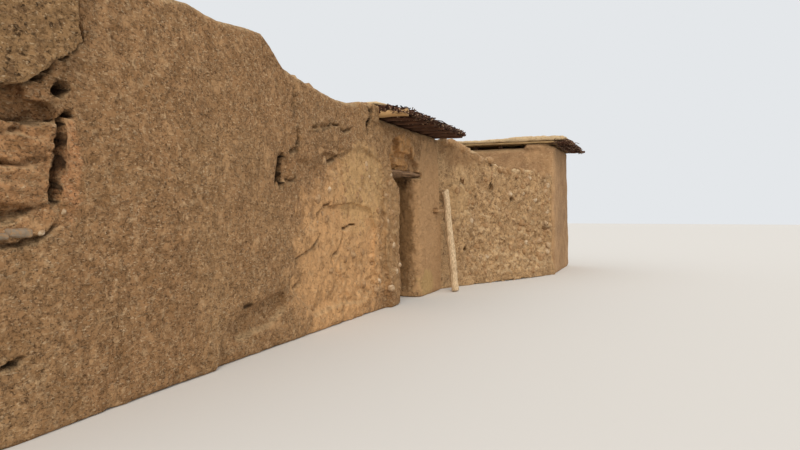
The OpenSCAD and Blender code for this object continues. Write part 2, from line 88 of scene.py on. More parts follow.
def activate(piece: bpy.types.Object) -> bpy.types.Object:
    """Selects one piece alone and makes it active.

    Args:
        piece: The piece that the next operators act on.

    Returns:
        The same piece.
    """
    deselect()
    piece.select_set(True)
    bpy.context.view_layer.objects.active = piece
    return piece


def named(title: str) -> bpy.types.Object:
    """Names the piece that was just added or joined.

    Args:
        title: The name.

    Returns:
        The piece.
    """
    piece = bpy.context.active_object
    piece.name = title
    piece.data.name = title
    return piece


def join(parts: Sequence[bpy.types.Object], title: str) -> bpy.types.Object:
    """Joins parts into one piece.

    Args:
        parts: The parts, which are used up.
        title: The name of the joined piece.

    Returns:
        The joined piece.
    """
    deselect()
    for part in parts:
        part.select_set(True)
    bpy.context.view_layer.objects.active = parts[0]
    bpy.ops.object.join()
    return named(title)


def placed_copy(template: bpy.types.Object, place: Matrix) -> bpy.types.Object:
    """Copies a modelled piece, with a mesh of its own, to a place.

    Args:
        template: The piece that was modelled once.
        place: Where the copy goes, from the template's own origin.

    Returns:
        The copy, whose place is in its mesh.
    """
    mesh = template.data.copy()
    mesh.transform(place)
    copy = bpy.data.objects.new(template.name, mesh)
    bpy.context.scene.collection.objects.link(copy)
    return copy


def scrap(*parts: bpy.types.Object) -> None:
    """Deletes pieces that are no longer needed.

    Args:
        *parts: The pieces.
    """
    for part in parts:
        bpy.data.objects.remove(part, do_unlink=True)


def solid_copy(nodes: Sequence[str], title: str) -> bpy.types.Object:
    """Copies CAD solids into one mesh and merges their loose triangles.

    Args:
        nodes: The CAD nodes to copy.
        title: The name of the new piece.

    Returns:
        The copy.
    """
    parts = []
    for node in nodes:
        part = bpy.data.objects.new(node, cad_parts[node].data.copy())
        bpy.context.scene.collection.objects.link(part)
        parts.append(part)
    piece = join(parts, title)
    piece.data.materials.clear()
    bpy.ops.object.mode_set(mode="EDIT")
    bpy.ops.mesh.select_all(action="SELECT")
    bpy.ops.mesh.remove_doubles(threshold=0.0004)
    bpy.ops.object.mode_set(mode="OBJECT")
    return piece


def modify(piece: bpy.types.Object, kind: str, **settings: object) -> None:
    """Adds a modifier and applies it.

    Args:
        piece: The piece to change.
        kind: Blender's name for the modifier.
        **settings: The modifier's settings.
    """
    activate(piece)
    bpy.ops.object.modifier_add(type=kind)
    modifier = piece.modifiers[-1]
    for name, value in settings.items():
        setattr(modifier, name, value)
    bpy.ops.object.modifier_apply(modifier=modifier.name)


def relief(piece: bpy.types.Object, kind: str, size: float, height: float, middle: float = 0.5,
           group: str = "", depth: int = 2, hard: bool = False, stretch: Point = (1.0, 1.0, 1.0)) -> None:
    """Pushes a surface in and out by a cloud or cell pattern.

    Args:
        piece: The piece to roughen.
        kind: CLOUDS, VORONOI or another of Blender's pattern types.
        size: Size of the pattern's lumps, in metres.
        height: Height from the lowest to the highest place, in metres.
        middle: The share of the height that lies below the first surface.
        group: The vertex group that limits it, or nothing.
        depth: How many finer layers a cloud has.
        hard: Whether a cloud has creases in place of round lumps.
        stretch: How much longer the lumps are along each axis.
    """
    pattern = bpy.data.textures.new("relief", kind)
    pattern.noise_scale = size
    if kind == "CLOUDS":
        pattern.noise_depth = depth
        pattern.noise_type = "HARD_NOISE" if hard else "SOFT_NOISE"
    deselect()
    bpy.ops.object.empty_add(location=(0.0, 0.0, 0.0))
    guide = bpy.context.active_object
    guide.scale = stretch
    bpy.context.view_layer.update()
    modify(piece, "DISPLACE", texture=pattern, texture_coords="OBJECT", texture_coords_object=guide,
           strength=height, mid_level=middle, vertex_group=group)
    scrap(guide)


def vertices(piece: bpy.types.Object) -> np.ndarray:
    """Reads the places of a piece's vertices.

    Args:
        piece: The piece.

    Returns:
        One row of three numbers for each vertex.
    """
    places = np.empty(len(piece.data.vertices) * 3)
    piece.data.vertices.foreach_get("co", places)
    return places.reshape(-1, 3)


def keep_within(piece: bpy.types.Object, low: Sequence[float], high: Sequence[float]) -> None:
    """Pulls back any vertex that relief has pushed past the piece's own room.

    Args:
        piece: The piece.
        low: The lowest corner that it may reach.
        high: The highest corner that it may reach.
    """
    places = np.clip(vertices(piece), np.array(low), np.array(high))
    piece.data.vertices.foreach_set("co", places.ravel())
    piece.data.update()


def weigh(piece: bpy.types.Object, title: str, weights: np.ndarray) -> None:
    """Writes a vertex group from one weight for each vertex, in steps of a tenth.

    Args:
        piece: The piece.
        title: The group's name.
        weights: The weights, which are kept between 0 and 1.
    """
    group = piece.vertex_groups.new(name=title)
    steps = np.clip(np.round(weights * 10), 0, 10).astype(int)
    for step in range(1, 11):
        chosen = np.nonzero(steps == step)[0].tolist()
        if chosen:
            group.add(chosen, step / 10, "REPLACE")


def smooth(piece: bpy.types.Object, angle: float = 50.0) -> None:
    """Shades a piece smooth, except over sharper edges.

    Args:
        piece: The piece.
        angle: The sharpest edge that is still smooth, in degrees.
    """
    activate(piece)
    bpy.ops.object.shade_smooth_by_angle(angle=math.radians(angle))


def mark(piece: bpy.types.Object, title: str, values: np.ndarray) -> None:
    """Writes one value for each vertex as an attribute, for the materials to read.

    Args:
        piece: The piece.
        title: The attribute's name.
        values: The values, in the order of the vertices.
    """
    marks = piece.data.attributes.new(title, "FLOAT", "POINT")
    marks.data.foreach_set("value", np.ascontiguousarray(values, dtype=np.float32))


def finish_piece(piece: bpy.types.Object, material: bpy.types.Material, slot: str, *nodes: str) -> None:
    """Dresses a finished piece and ties it to the solids.

    Args:
        piece: The piece.
        material: Its material, which takes the place of any that it has.
        slot: The record's material slot; not used.
        *nodes: The CAD nodes that the piece stands for.
    """
    piece.data.materials.clear()
    piece.data.materials.append(material)
    normals = np.empty(len(piece.data.vertices) * 3)
    piece.data.vertices.foreach_get("normal", normals)
    mark(piece, "looks_up", normals.reshape(-1, 3)[:, 2])
    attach(piece, "root")
    if nodes:
        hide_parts(*nodes)
    piece.data.calc_loop_triangles()
    log.info("%s: %d triangles, for %s", piece.name, len(piece.data.loop_triangles), ", ".join(nodes) or "no solid")


def linear(hex_colour: str) -> tuple[float, float, float, float]:
    """Turns an sRGB hex colour into Blender's linear colour.

    Args:
        hex_colour: The colour as #rrggbb.

    Returns:
        Red, green and blue, and an alpha of 1.
    """
    shares = [int(hex_colour[i:i + 2], 16) / 255 for i in (1, 3, 5)]
    return tuple(s / 12.92 if s <= 0.04045 else ((s + 0.055) / 1.055) ** 2.4 for s in shares) + (1.0,)


def add(tree: bpy.types.NodeTree, kind: str, inputs: dict | None = None, **settings: object) -> bpy.types.Node:
    """Adds a node with its settings and links.

    Args:
        tree: The material's node tree.
        kind: Blender's name for the node.
        inputs: A value or an output to link, for each input by its name or number.
        **settings: The node's own settings.

    Returns:
        The node.
    """
    node = tree.nodes.new(kind)
    for name, value in settings.items():
        setattr(node, name, value)
    for key, value in (inputs or {}).items():
        if isinstance(value, bpy.types.NodeSocket):
            tree.links.new(value, node.inputs[key])
        else:
            node.inputs[key].default_value = value
    return node


@dataclass(frozen=True)
class Layer:
    """One thing that colours or roughens a surface, such as straw, grit, a stain or a painted shade, at its real size.
    """

    colour: str
    size_mm: float
    low: float
    high: float
    amount: float = 1.0
    deep_mm: float = 0.0
    stretch: Point = (1.0, 1.0, 1.0)
    detail: float = 3.0
    seed: float = 0.0
    centre: Point | None = None
    reach: Point = (1.0, 1.0, 1.0)

    def share(self, tree: bpy.types.NodeTree, where: bpy.types.NodeSocket) -> bpy.types.NodeSocket:
        """Adds the nodes that give how much of the layer shows at a place.

        Args:
            tree: The material's node tree.
            where: The object coordinates.

        Returns:
            A value from 0 to 1.
        """
        spot = add(tree, "ShaderNodeMapping", {"Vector": where, "Location": (self.seed, self.seed * 0.7, self.seed * 1.3),
                                               "Scale": tuple(1.0 / s for s in self.stretch)})
        value = add(tree, "ShaderNodeTexNoise", {"Vector": spot.outputs[0], "Scale": 1000.0 / self.size_mm,
                                                 "Detail": self.detail, "Roughness": 0.6}).outputs["Fac"]
        if self.centre is not None:
            near = add(tree, "ShaderNodeMapping", {"Vector": where, "Location": self.centre, "Scale": self.reach},
                       vector_type="TEXTURE")
            ball = add(tree, "ShaderNodeTexGradient", {"Vector": near.outputs[0]}, gradient_type="SPHERICAL")
            value = add(tree, "ShaderNodeMath", {0: value, 1: ball.outputs["Fac"]}, operation="ADD").outputs[0]
        return add(tree, "ShaderNodeMapRange", {"Value": value, "From Min": self.low, "From Max": self.high}).outputs[0]


@dataclass(frozen=True)
class Finish:
    """The dull finish of an earth or wood surface, built up from its layers."""

    title: str
    colour: str
    layers: tuple[Layer, ...]
    rough: float = 0.95
    specular: float = 0.12
    # Pale dust and painted top light, on faces that look up
    dust_and_top_light: str = ""
    # Painted shade for the cracks and holes, read from the hollow mark
    shade: str = ""

    def make(self) -> bpy.types.Material:
        """Builds the material.

        Returns:
            The material, whose patterns follow the object coordinates.
        """
        material = bpy.data.materials.new(self.title)
        material.use_nodes = True
        tree = material.node_tree
        tree.nodes.clear()
        where = add(tree, "ShaderNodeTexCoord").outputs["Object"]
        colour: object = linear(self.colour)
        inputs: dict[str, object] = {}
        for layer in self.layers:
            share = layer.share(tree, where)
            if layer.deep_mm:
                # A layer with a negative depth is cut into the surface, one with a positive depth stands on it
                height = {"Height": share, "Strength": 1.0, "Distance": abs(layer.deep_mm) / 1000.0}
                inputs["Normal"] = add(tree, "ShaderNodeBump", height | inputs, invert=layer.deep_mm < 0).outputs[0]
            if layer.amount:
                part = add(tree, "ShaderNodeMath", {0: share, 1: layer.amount}, operation="MULTIPLY").outputs[0]
                colour = add(tree, "ShaderNodeMixRGB", {"Fac": part, "Color1": colour,
                                                        "Color2": linear(layer.colour)}).outputs[0]
        if self.dust_and_top_light:
            # Pale dust and painted top light: the surface is painted paler where it looks up
            facing = add(tree, "ShaderNodeAttribute", attribute_name="looks_up").outputs["Fac"]
            pale_top_share = add(tree, "ShaderNodeMapRange", {"Value": facing, "From Min": 0.20, "From Max": 0.90,
                                                     "To Max": 0.60}).outputs[0]
            colour = add(tree, "ShaderNodeMixRGB", {"Fac": pale_top_share, "Color1": colour,
                                                    "Color2": linear(self.dust_and_top_light)}).outputs[0]
        if self.shade:
            # Painted shade darkens the cracks and the holes
            deep = add(tree, "ShaderNodeAttribute", attribute_name="hollow").outputs["Fac"]
            part = add(tree, "ShaderNodeMath", {0: deep, 1: 0.92}, operation="MULTIPLY").outputs[0]
            colour = add(tree, "ShaderNodeMixRGB", {"Fac": part, "Color1": colour,
                                                    "Color2": linear(self.shade)}).outputs[0]
        # Damp and rubbed places are a little less rough than the dust around them
        wear = add(tree, "ShaderNodeMapRange", {"Value": self.layers[0].share(tree, where),
                                                "To Min": self.rough, "To Max": self.rough - 0.12}).outputs[0]
        shader = add(tree, "ShaderNodeBsdfPrincipled", inputs | {"Base Color": colour, "Roughness": wear,
                                                                 "Specular IOR Level": self.specular})
        add(tree, "ShaderNodeOutputMaterial", {"Surface": shader.outputs[0]})
        return material


# What shows in all the earth of the house, from straw to metre-wide weathering. Straw and grit are
# finer than this in the real earth, and are drawn at 15 to 30 mm because finer ones don't show.
CLOUDY = (
    Layer("#a6845c", 950.0, 0.44, 0.68, 0.55, seed=3.0, detail=4.0),
    Layer("#7d5d3f", 420.0, 0.50, 0.74, 0.40, seed=7.0, stretch=(1.2, 1.2, 2.2), detail=4.0),
)
STRAWY = (
    Layer("#7d5e40", 75.0, 0.52, 0.34, 0.28, 14.0, seed=5.0, detail=5.0),
    Layer("#c9a77e", 24.0, 0.52, 0.66, 0.44, 3.0, (1.8, 1.8, 1.0), 3.0, 1.0),
    Layer("#523a26", 28.0, 0.46, 0.34, 0.50, -4.0, (1.3, 1.3, 1.0), 3.0, 11.0),
    Layer("#dcc09a", 15.0, 0.62, 0.72, 0.50, 2.0, (2.2, 2.2, 1.0), 1.0, 17.0),
    Layer("#3d2a1b", 15.0, 0.38, 0.30, 0.55, -3.0, (1.5, 1.5, 1.0), 1.0, 19.0),
)
# What still shows where earth has broken off or was plastered over: clods and chips
BROKEN = (
    Layer("#8f6a44", 130.0, 0.47, 0.34, 0.50, -10.0, detail=6.0, seed=41.0),
    Layer("#dcb98e", 70.0, 0.55, 0.68, 0.42, 5.0, detail=6.0, seed=43.0),
    Layer("#5e432c", 34.0, 0.40, 0.32, 0.45, -4.0, detail=3.0, seed=47.0),
)


@dataclass
class EarthWalls:
    """Walls of rammed earth that stand together, remeshed from their solids and weathered as one."""

    title: str
    nodes: tuple[str, ...]
    slot: str
    grain: float
    finish: Finish
    weathering: Weathering = Weathering.WORN
    ruined: tuple[tuple[Point, Point], ...] = ()
    layered: tuple[tuple[Point, Point], ...] = ()
    lumps: tuple[tuple[str, float, float], ...] = (("CLOUDS", 0.20, 0.075), ("VORONOI", 0.11, 0.030))
    swollen: tuple[tuple[Point, Point], ...] = ()
    swell: float = 0.045
    layer_deep: float = 0.065
    soft_foot: float = 0.0
    raised: tuple[Spot, ...] = ()
    fills: tuple[tuple[Point, Point], ...] = ()
    plugs: tuple[tuple[Point, float], ...] = ()
    pits: tuple[tuple[float, float, float, float, float], ...] = ()
    cracks: tuple[tuple[Spot, ...], ...] = ()
    crack_wide: float = 0.021
    crack_deep: float = 0.06
    kept_front: float = 0.0
    kept_share: float = 1.0
    piece: bpy.types.Object = field(init=False)

    def near(self, areas: Sequence[tuple[Point, Point]]) -> np.ndarray:
        """Measures how far inside some areas each vertex is.

        Args:
            areas: The middle and the reach of each area.

        Returns:
            A weight from 0 to 1 for each vertex.
        """
        places = vertices(self.piece)
        share = np.zeros(len(places))
        for centre, size in areas:
            away = np.linalg.norm((places - np.array(centre)) / np.array(size), axis=1)
            share = np.maximum(share, np.clip(2.2 - 2.2 * away, 0, 1))
        return share

    def along_cracks(self) -> np.ndarray:
        """Measures how near each vertex of the front face is to a crack.

        Returns:
            A weight from 0 to 1 for each vertex.
        """
        places = vertices(self.piece)
        flat = places[:, (0, 2)]
        share = np.zeros(len(places))
        chance = random.Random(6)
        for crack in self.cracks:
            for start, end in zip(crack, crack[1:]):
                first, run = np.array(start), np.array(end) - np.array(start)
                steps = max(2, int(np.linalg.norm(run) / 0.07))
                knots = [first + run * i / steps for i in range(steps + 1)]
                for knot in knots[1:-1]:
                    knot += (chance.gauss(0, 0.013), chance.gauss(0, 0.013))
                for here, there in zip(knots, knots[1:]):
                    wide, deep = self.crack_wide * chance.uniform(0.6, 1.3), chance.uniform(0.4, 1.0)
                    part = np.clip(((flat - here) @ (there - here)) / ((there - here) @ (there - here)), 0, 1)
                    away = np.linalg.norm(flat - here - part[:, None] * (there - here), axis=1)
                    share = np.maximum(share, np.clip(1.25 - away / wide, 0, deep))
        share[places[:, 1] > FRONT_Y + 0.30] = 0
        return share

    def fill(self) -> None:
        """Adds blocks of earth that stand in a hollow or heap up on a wall."""
        blocks = [self.piece]
        for low, high in self.fills:
            deselect()
            middle = tuple((a + b) / 2 for a, b in zip(low, high))
            bpy.ops.mesh.primitive_cube_add(size=1.0, location=middle, scale=tuple(b - a for a, b in zip(low, high)))
            bpy.ops.object.transform_apply(location=True, rotation=False, scale=True)
            bpy.ops.object.mode_set(mode="EDIT")
            bpy.ops.mesh.bevel(offset=0.03, segments=2, affect="EDGES")
            bpy.ops.object.mode_set(mode="OBJECT")
            blocks.append(bpy.context.active_object)
        for middle, across in self.plugs:
            deselect()
            bpy.ops.mesh.primitive_ico_sphere_add(subdivisions=2, radius=across / 2, location=middle)
            bpy.ops.object.transform_apply(location=True, rotation=False, scale=False)
            blocks.append(bpy.context.active_object)
        self.piece = join(blocks, self.title)

    def in_pit(self, pit: tuple[float, float, float, float, float]) -> np.ndarray:
        """Measures how far inside a pit of the front face each vertex is.

        Args:
            pit: Its X, height, half width, half height and depth.

        Returns:
            A weight from 0 to 1 for each vertex.
        """
        places = vertices(self.piece)
        x, z, wide, high, _ = pit
        share = np.clip(4.0 - 4.0 * np.hypot((places[:, 0] - x) / wide, (places[:, 2] - z) / high), 0, 1)
        share[places[:, 1] > FRONT_Y + 0.36] = 0
        return share

    def dig(self) -> None:
        """Digs the pits, each a steep hole in the front face."""
        for pit in self.pits:
            places = vertices(self.piece)
            places[:, 1] += self.in_pit(pit) * pit[-1]
            self.piece.data.vertices.foreach_set("co", places.ravel())
        self.piece.data.update()

    def heap(self) -> None:
        """Raises the wall top where weathered earth is heaped on it."""
        places = vertices(self.piece)
        along, up = zip(*self.raised)
        places[:, 2] += np.interp(places[:, 0], along, up) * np.clip((places[:, 2] - 2.0) / 0.5, 0, 1)
        self.piece.data.vertices.foreach_set("co", places.ravel())
        self.piece.data.update()

    def lighten(self) -> None:
        """Thins the mesh behind the front face, which no near view shows."""
        weigh(self.piece, "behind", (vertices(self.piece)[:, 1] > self.kept_front).astype(float))
        modify(self.piece, "DECIMATE", ratio=self.kept_share, vertex_group="behind")

    def build(self) -> bpy.types.Object:
        """Builds the walls.

        Returns:
            The piece, dressed and tied to its solids.
        """
        self.piece = solid_copy(self.nodes, self.title)
        corners = vertices(self.piece)
        low, high = corners.min(axis=0), corners.max(axis=0)
        if self.fills or self.plugs:
            self.fill()
        modify(self.piece, "REMESH", mode="VOXEL", voxel_size=self.grain, adaptivity=0.0)
        if self.soft_foot:
            weigh(self.piece, "foot", (self.soft_foot - vertices(self.piece)[:, 2]) / 0.2)
            modify(self.piece, "SMOOTH", factor=0.6, iterations=16, vertex_group="foot")
        height = self.weathering.value
        relief(self.piece, "CLOUDS", 0.55, height * 1.5)
        relief(self.piece, "CLOUDS", 0.15, height, depth=3)
        if self.ruined:
            weigh(self.piece, "ruined", self.near(self.ruined))
            for kind, size, up in self.lumps:
                relief(self.piece, kind, size, up, 0.5, "ruined", 3, kind == "CLOUDS")
        if self.layered:
            weigh(self.piece, "layered", self.near(self.layered))
            relief(self.piece, "CLOUDS", 0.16, self.layer_deep, 0.6, "layered", 3, True, (2.6, 1.0, 0.42))
        if self.swollen:
            weigh(self.piece, "swollen", self.near(self.swollen))
            modify(self.piece, "DISPLACE", strength=self.swell, mid_level=0.0, vertex_group="swollen")
        if self.cracks:
            weigh(self.piece, "cracked", self.along_cracks())
            modify(self.piece, "DISPLACE", direction="Y", strength=self.crack_deep, mid_level=0.0,
                   vertex_group="cracked")
        if self.raised:
            self.heap()
        if self.pits:
            self.dig()
        keep_within(self.piece, low, high)
        if self.kept_share < 1.0:
            self.lighten()
        if self.cracks:
            # Painted shade: the deeper a pit, the further up its sides it is painted dark, and a little over its rim;
            # the cracks are painted dark as well
            pits = [np.clip(self.in_pit((x, z, wide + 0.009, high, deep)) * deep / 0.05, 0, 1)
                    for x, z, wide, high, deep in self.pits]
            mark(self.piece, "hollow", np.max([self.along_cracks() * 0.75] + pits, axis=0))
        smooth(self.piece, 60.0)
        finish_piece(self.piece, self.finish.make(), self.slot, *self.nodes)
        return self.piece


@dataclass
class MudSkin:
    """Mud laid by hand: a roof, the cap of an eave, or what is left of a wall's thick render."""

    title: str
    node: str
    slot: str
    finish: Finish
    grain: float = 0.035
    rounds: int = 3
    lump: float = 0.30
    height: float = 0.030
    crown: float = 0.0
    set_back: float = 0.0
    sag: float = 0.08

    def build(self) -> bpy.types.Object:
        """Builds the mud from its solid, with worn edges.

        Returns:
            The piece, dressed and tied to its solid.
        """
        piece = solid_copy((self.node,), self.title)
        corners = vertices(piece)
        modify(piece, "REMESH", mode="VOXEL", voxel_size=self.grain, adaptivity=0.0)
        modify(piece, "SMOOTH", factor=0.6, iterations=self.rounds)
        relief(piece, "CLOUDS", self.lump, self.height, 0.6, depth=3)
        relief(piece, "CLOUDS", self.lump * 0.25, self.height * 0.6, 0.5, depth=3)
        keep_within(piece, corners.min(axis=0), corners.max(axis=0))
        # The mud is thicker towards the front, up to its crown, or hangs there with the mat under it
        places = vertices(piece)
        low, high = places.min(axis=0), places.max(axis=0)
        places[:, 2] += self.crown * np.clip(-0.6 - places[:, 1], 0, 1) * (places[:, 2] - low[2]) / (high[2] - low[2])
        if self.set_back:
            places[:, 1] = np.maximum(places[:, 1], low[1] + self.set_back)
            places[:, 2] -= self.sag * np.clip(1 - (places[:, 1] - low[1]) / 0.35, 0, 1)
        piece.data.vertices.foreach_set("co", places.ravel())
        piece.data.update()
        smooth(piece, 60.0)
        finish_piece(piece, self.finish.make(), self.slot, self.node)
        return piece


@dataclass
class Cobbles:
    """River cobbles built into a wall, each sunk into the mud that holds it."""

    title: str
    wall: bpy.types.Object
    finish: Finish
    seed: int
    smallest: float = 0.04
    largest: float = 0.11
    sunk: float = 0.70

    def templates(self) -> list[bpy.types.Object]:
        """Models four cobbles, one metre across.

        Returns:
            The cobbles.
        """
        made = []
        for turn in range(4):
            deselect()
            bpy.ops.mesh.primitive_cube_add(size=0.8, location=(turn * 3.0, 0.0, 0.0))
            cobble = named("cobble")
            bpy.ops.object.transform_apply(location=True, rotation=False, scale=False)
            bpy.ops.object.mode_set(mode="EDIT")
            bpy.ops.mesh.select_all(action="SELECT")
            bpy.ops.mesh.subdivide(number_cuts=2, smoothness=1.0)
            bpy.ops.transform.resize(value=(1.0, 0.74 + 0.07 * turn, 0.60 + 0.05 * turn))
            bpy.ops.object.mode_set(mode="OBJECT")
            relief(cobble, "CLOUDS", 0.42 + 0.05 * turn, 0.42, 0.5, depth=2)
            cobble.data.transform(Matrix.Translation((-turn * 3.0, 0, 0)))
            smooth(cobble, 180.0)
            made.append(cobble)
        return made

    def build(self, rays: Iterable[tuple[Vector, Vector, float]]) -> bpy.types.Object:
        """Sets a cobble where each ray meets the wall.

        Args:
            rays: Where each ray starts, its direction and the size of its cobble, or 0 for any size.

        Returns:
            The cobbles as one piece.
        """
        chance = random.Random(self.seed)
        shapes = self.templates()
        made = []
        for start, towards, size in rays:
            hit, spot, normal, _ = self.wall.ray_cast(start, towards)
            if not hit:
                continue
            across = size or self.smallest + (self.largest - self.smallest) * chance.random() ** 2
            flat = normal.to_track_quat("Z", "Y").to_matrix().to_4x4()
            spin = Matrix.Rotation(chance.uniform(0, math.tau), 4, "Z")
            centre = spot + normal * across * 0.33 * (1 - 2 * self.sunk)
            made.append(placed_copy(chance.choice(shapes),
                                    Matrix.Translation(centre) @ flat @ spin @ Matrix.Scale(across, 4)))
        scrap(*shapes)
        piece = join(made, self.title)
        finish_piece(piece, self.finish.make(), "rubble_and_mud")
        return piece


def log_along_x(title: str, radius: float, length: float, sides: int, rings: int, crooked: float,
                seed: int, uneven: float = 0.04, broken: float = 0.0) -> bpy.types.Object:
    """Models a round log by extruding its end ring by ring, each a little off the line.

    Args:
        title: The log's name.
        radius: Radius of the thick end, in metres.
        length: Length along +X from the origin.
        sides: How many sides the log has.
        rings: How many rings it is extruded by.
        crooked: How far a ring may lie off the line.
        seed: Makes each log different.
        uneven: How much thicker or thinner a ring may be, as a share.
        broken: How far the splinters of the far end stand out, in metres.

    Returns:
        The log.
    """
    chance = random.Random(seed)
    deselect()
    bpy.ops.mesh.primitive_circle_add(vertices=sides, radius=radius, fill_type="NGON", rotation=(0, math.pi / 2, 0))
    piece = named(title)
    bpy.ops.object.transform_apply(location=False, rotation=True, scale=False)
    bpy.ops.object.mode_set(mode="EDIT")
    bpy.ops.mesh.select_all(action="SELECT")
    here, thick = Vector((0.0, 0.0, 0.0)), 1.0
    for ring in range(1, rings + 1):
        off = crooked if ring < rings else crooked * 0.5
        there = Vector((length * ring / rings, chance.uniform(-off, off), chance.uniform(-off, off)))
        bpy.ops.mesh.extrude_region_move(TRANSFORM_OT_translate={"value": there - here})
        wanted = (1.0 - 0.08 * ring / rings) * chance.uniform(1.0 - uneven, 1.0)
        bpy.ops.transform.resize(value=(1.0, wanted / thick, wanted / thick))
        here, thick = there, wanted
    bpy.ops.mesh.select_all(action="SELECT")
    bpy.ops.mesh.normals_make_consistent(inside=False)
    bpy.ops.object.mode_set(mode="OBJECT")
    if broken:
        for vertex in piece.data.vertices:
            if vertex.co.x > length - 1e-4:
                vertex.co.x -= chance.uniform(0.0, broken)
    smooth(piece, 55.0)
    return piece


@dataclass
class Poles:
    """Round poles laid side by side, each in the room of its solid."""

    title: str
    node: str
    radius: float
    along: str
    slot: str
    finish: Finish
    crooked: float = 0.005
    seed: int = 1
    first_radius: float = 0.0
    shortest: float = 0.965
    lift: float = 0.0

    def rooms(self) -> list[tuple[np.ndarray, np.ndarray]]:
        """Measures the solids of the node.

        Returns:
            The lowest and highest corner of each solid, in order.
        """
        solid_copy((self.node,), "pole_room")
        bpy.ops.object.mode_set(mode="EDIT")
        bpy.ops.mesh.separate(type="LOOSE")
        bpy.ops.object.mode_set(mode="OBJECT")
        rooms = [(vertices(p).min(axis=0), vertices(p).max(axis=0)) for p in bpy.context.selected_objects]
        scrap(*bpy.context.selected_objects)
        return sorted(rooms, key=lambda room: tuple(room[0]))

    def build(self) -> bpy.types.Object:
        """Builds the poles.

        Returns:
            All the poles as one piece.
        """
        chance = random.Random(self.seed)
        made = []
        turn = Matrix.Identity(4) if self.along == "X" else Matrix.Rotation(math.pi / 2, 4, "Z")
        axis = 0 if self.along == "X" else 1
        for count, (low, high) in enumerate(self.rooms()):
            length = float(high[axis] - low[axis]) * (1.0 if self.along == "X" else chance.uniform(self.shortest, 1.0))
            start = Vector((low + high) / 2)
            start[axis] = float(high[axis]) - length
            radius = self.first_radius if self.first_radius and count == 0 else self.radius
            start.z += (self.radius - radius) * 0.7 + self.lift
            shape = log_along_x("pole", radius, length, 14, 9, self.crooked, self.seed + count, 0.07)
            roll = Matrix.Rotation(chance.uniform(0, math.tau), 4, "X")
            made.append(placed_copy(shape, Matrix.Translation(start) @ turn @ roll))
            scrap(shape)
        piece = join(made, self.title)
        smooth(piece, 55.0)
        finish_piece(piece, self.finish.make(), self.slot, self.node)
        return piece


@dataclass
class Canes:
    """A layer of canes side by side, that the roof mud lies on."""

    title: str
    node: str
    along: str
    finish: Finish
    across: float = 0.026

    def build(self) -> bpy.types.Object:
        """Lays two layers of canes in the room of the solid.

        Returns:
            The canes as one piece.
        """
        low, high = (Vector(corner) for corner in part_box(self.node))
        axis, other = (0, 1) if self.along == "X" else (1, 0)
        chance = random.Random(5)
        shape = log_along_x("cane", self.across / 2, 1.0, 6, 4, 0.0005, 3)
        turn = Matrix.Identity(4) if self.along == "X" else Matrix.Rotation(math.pi / 2, 4, "Z")
        made = []
        count = int((high[other] - low[other]) / self.across)
        step = (high[other] - low[other]) / count
        for layer in range(2):
            level = low[2] + self.across / 2 + layer * (high[2] - low[2] - self.across)
            for i in range(count):
                length = (high[axis] - low[axis]) * chance.uniform(0.985, 1.0)
                start = Vector((0, 0, level))
                start[axis] = high[axis] - length
                start[other] = low[other] + step * (i + 0.5)
                thick = chance.uniform(0.85, 1.0)
                made.append(placed_copy(shape, Matrix.Translation(start) @ turn
                                        @ Matrix.Diagonal((length, thick, thick, 1.0))))
        scrap(shape)
        piece = join(made, self.title)
        finish_piece(piece, self.finish.make(), "cane", self.node)
        return piece


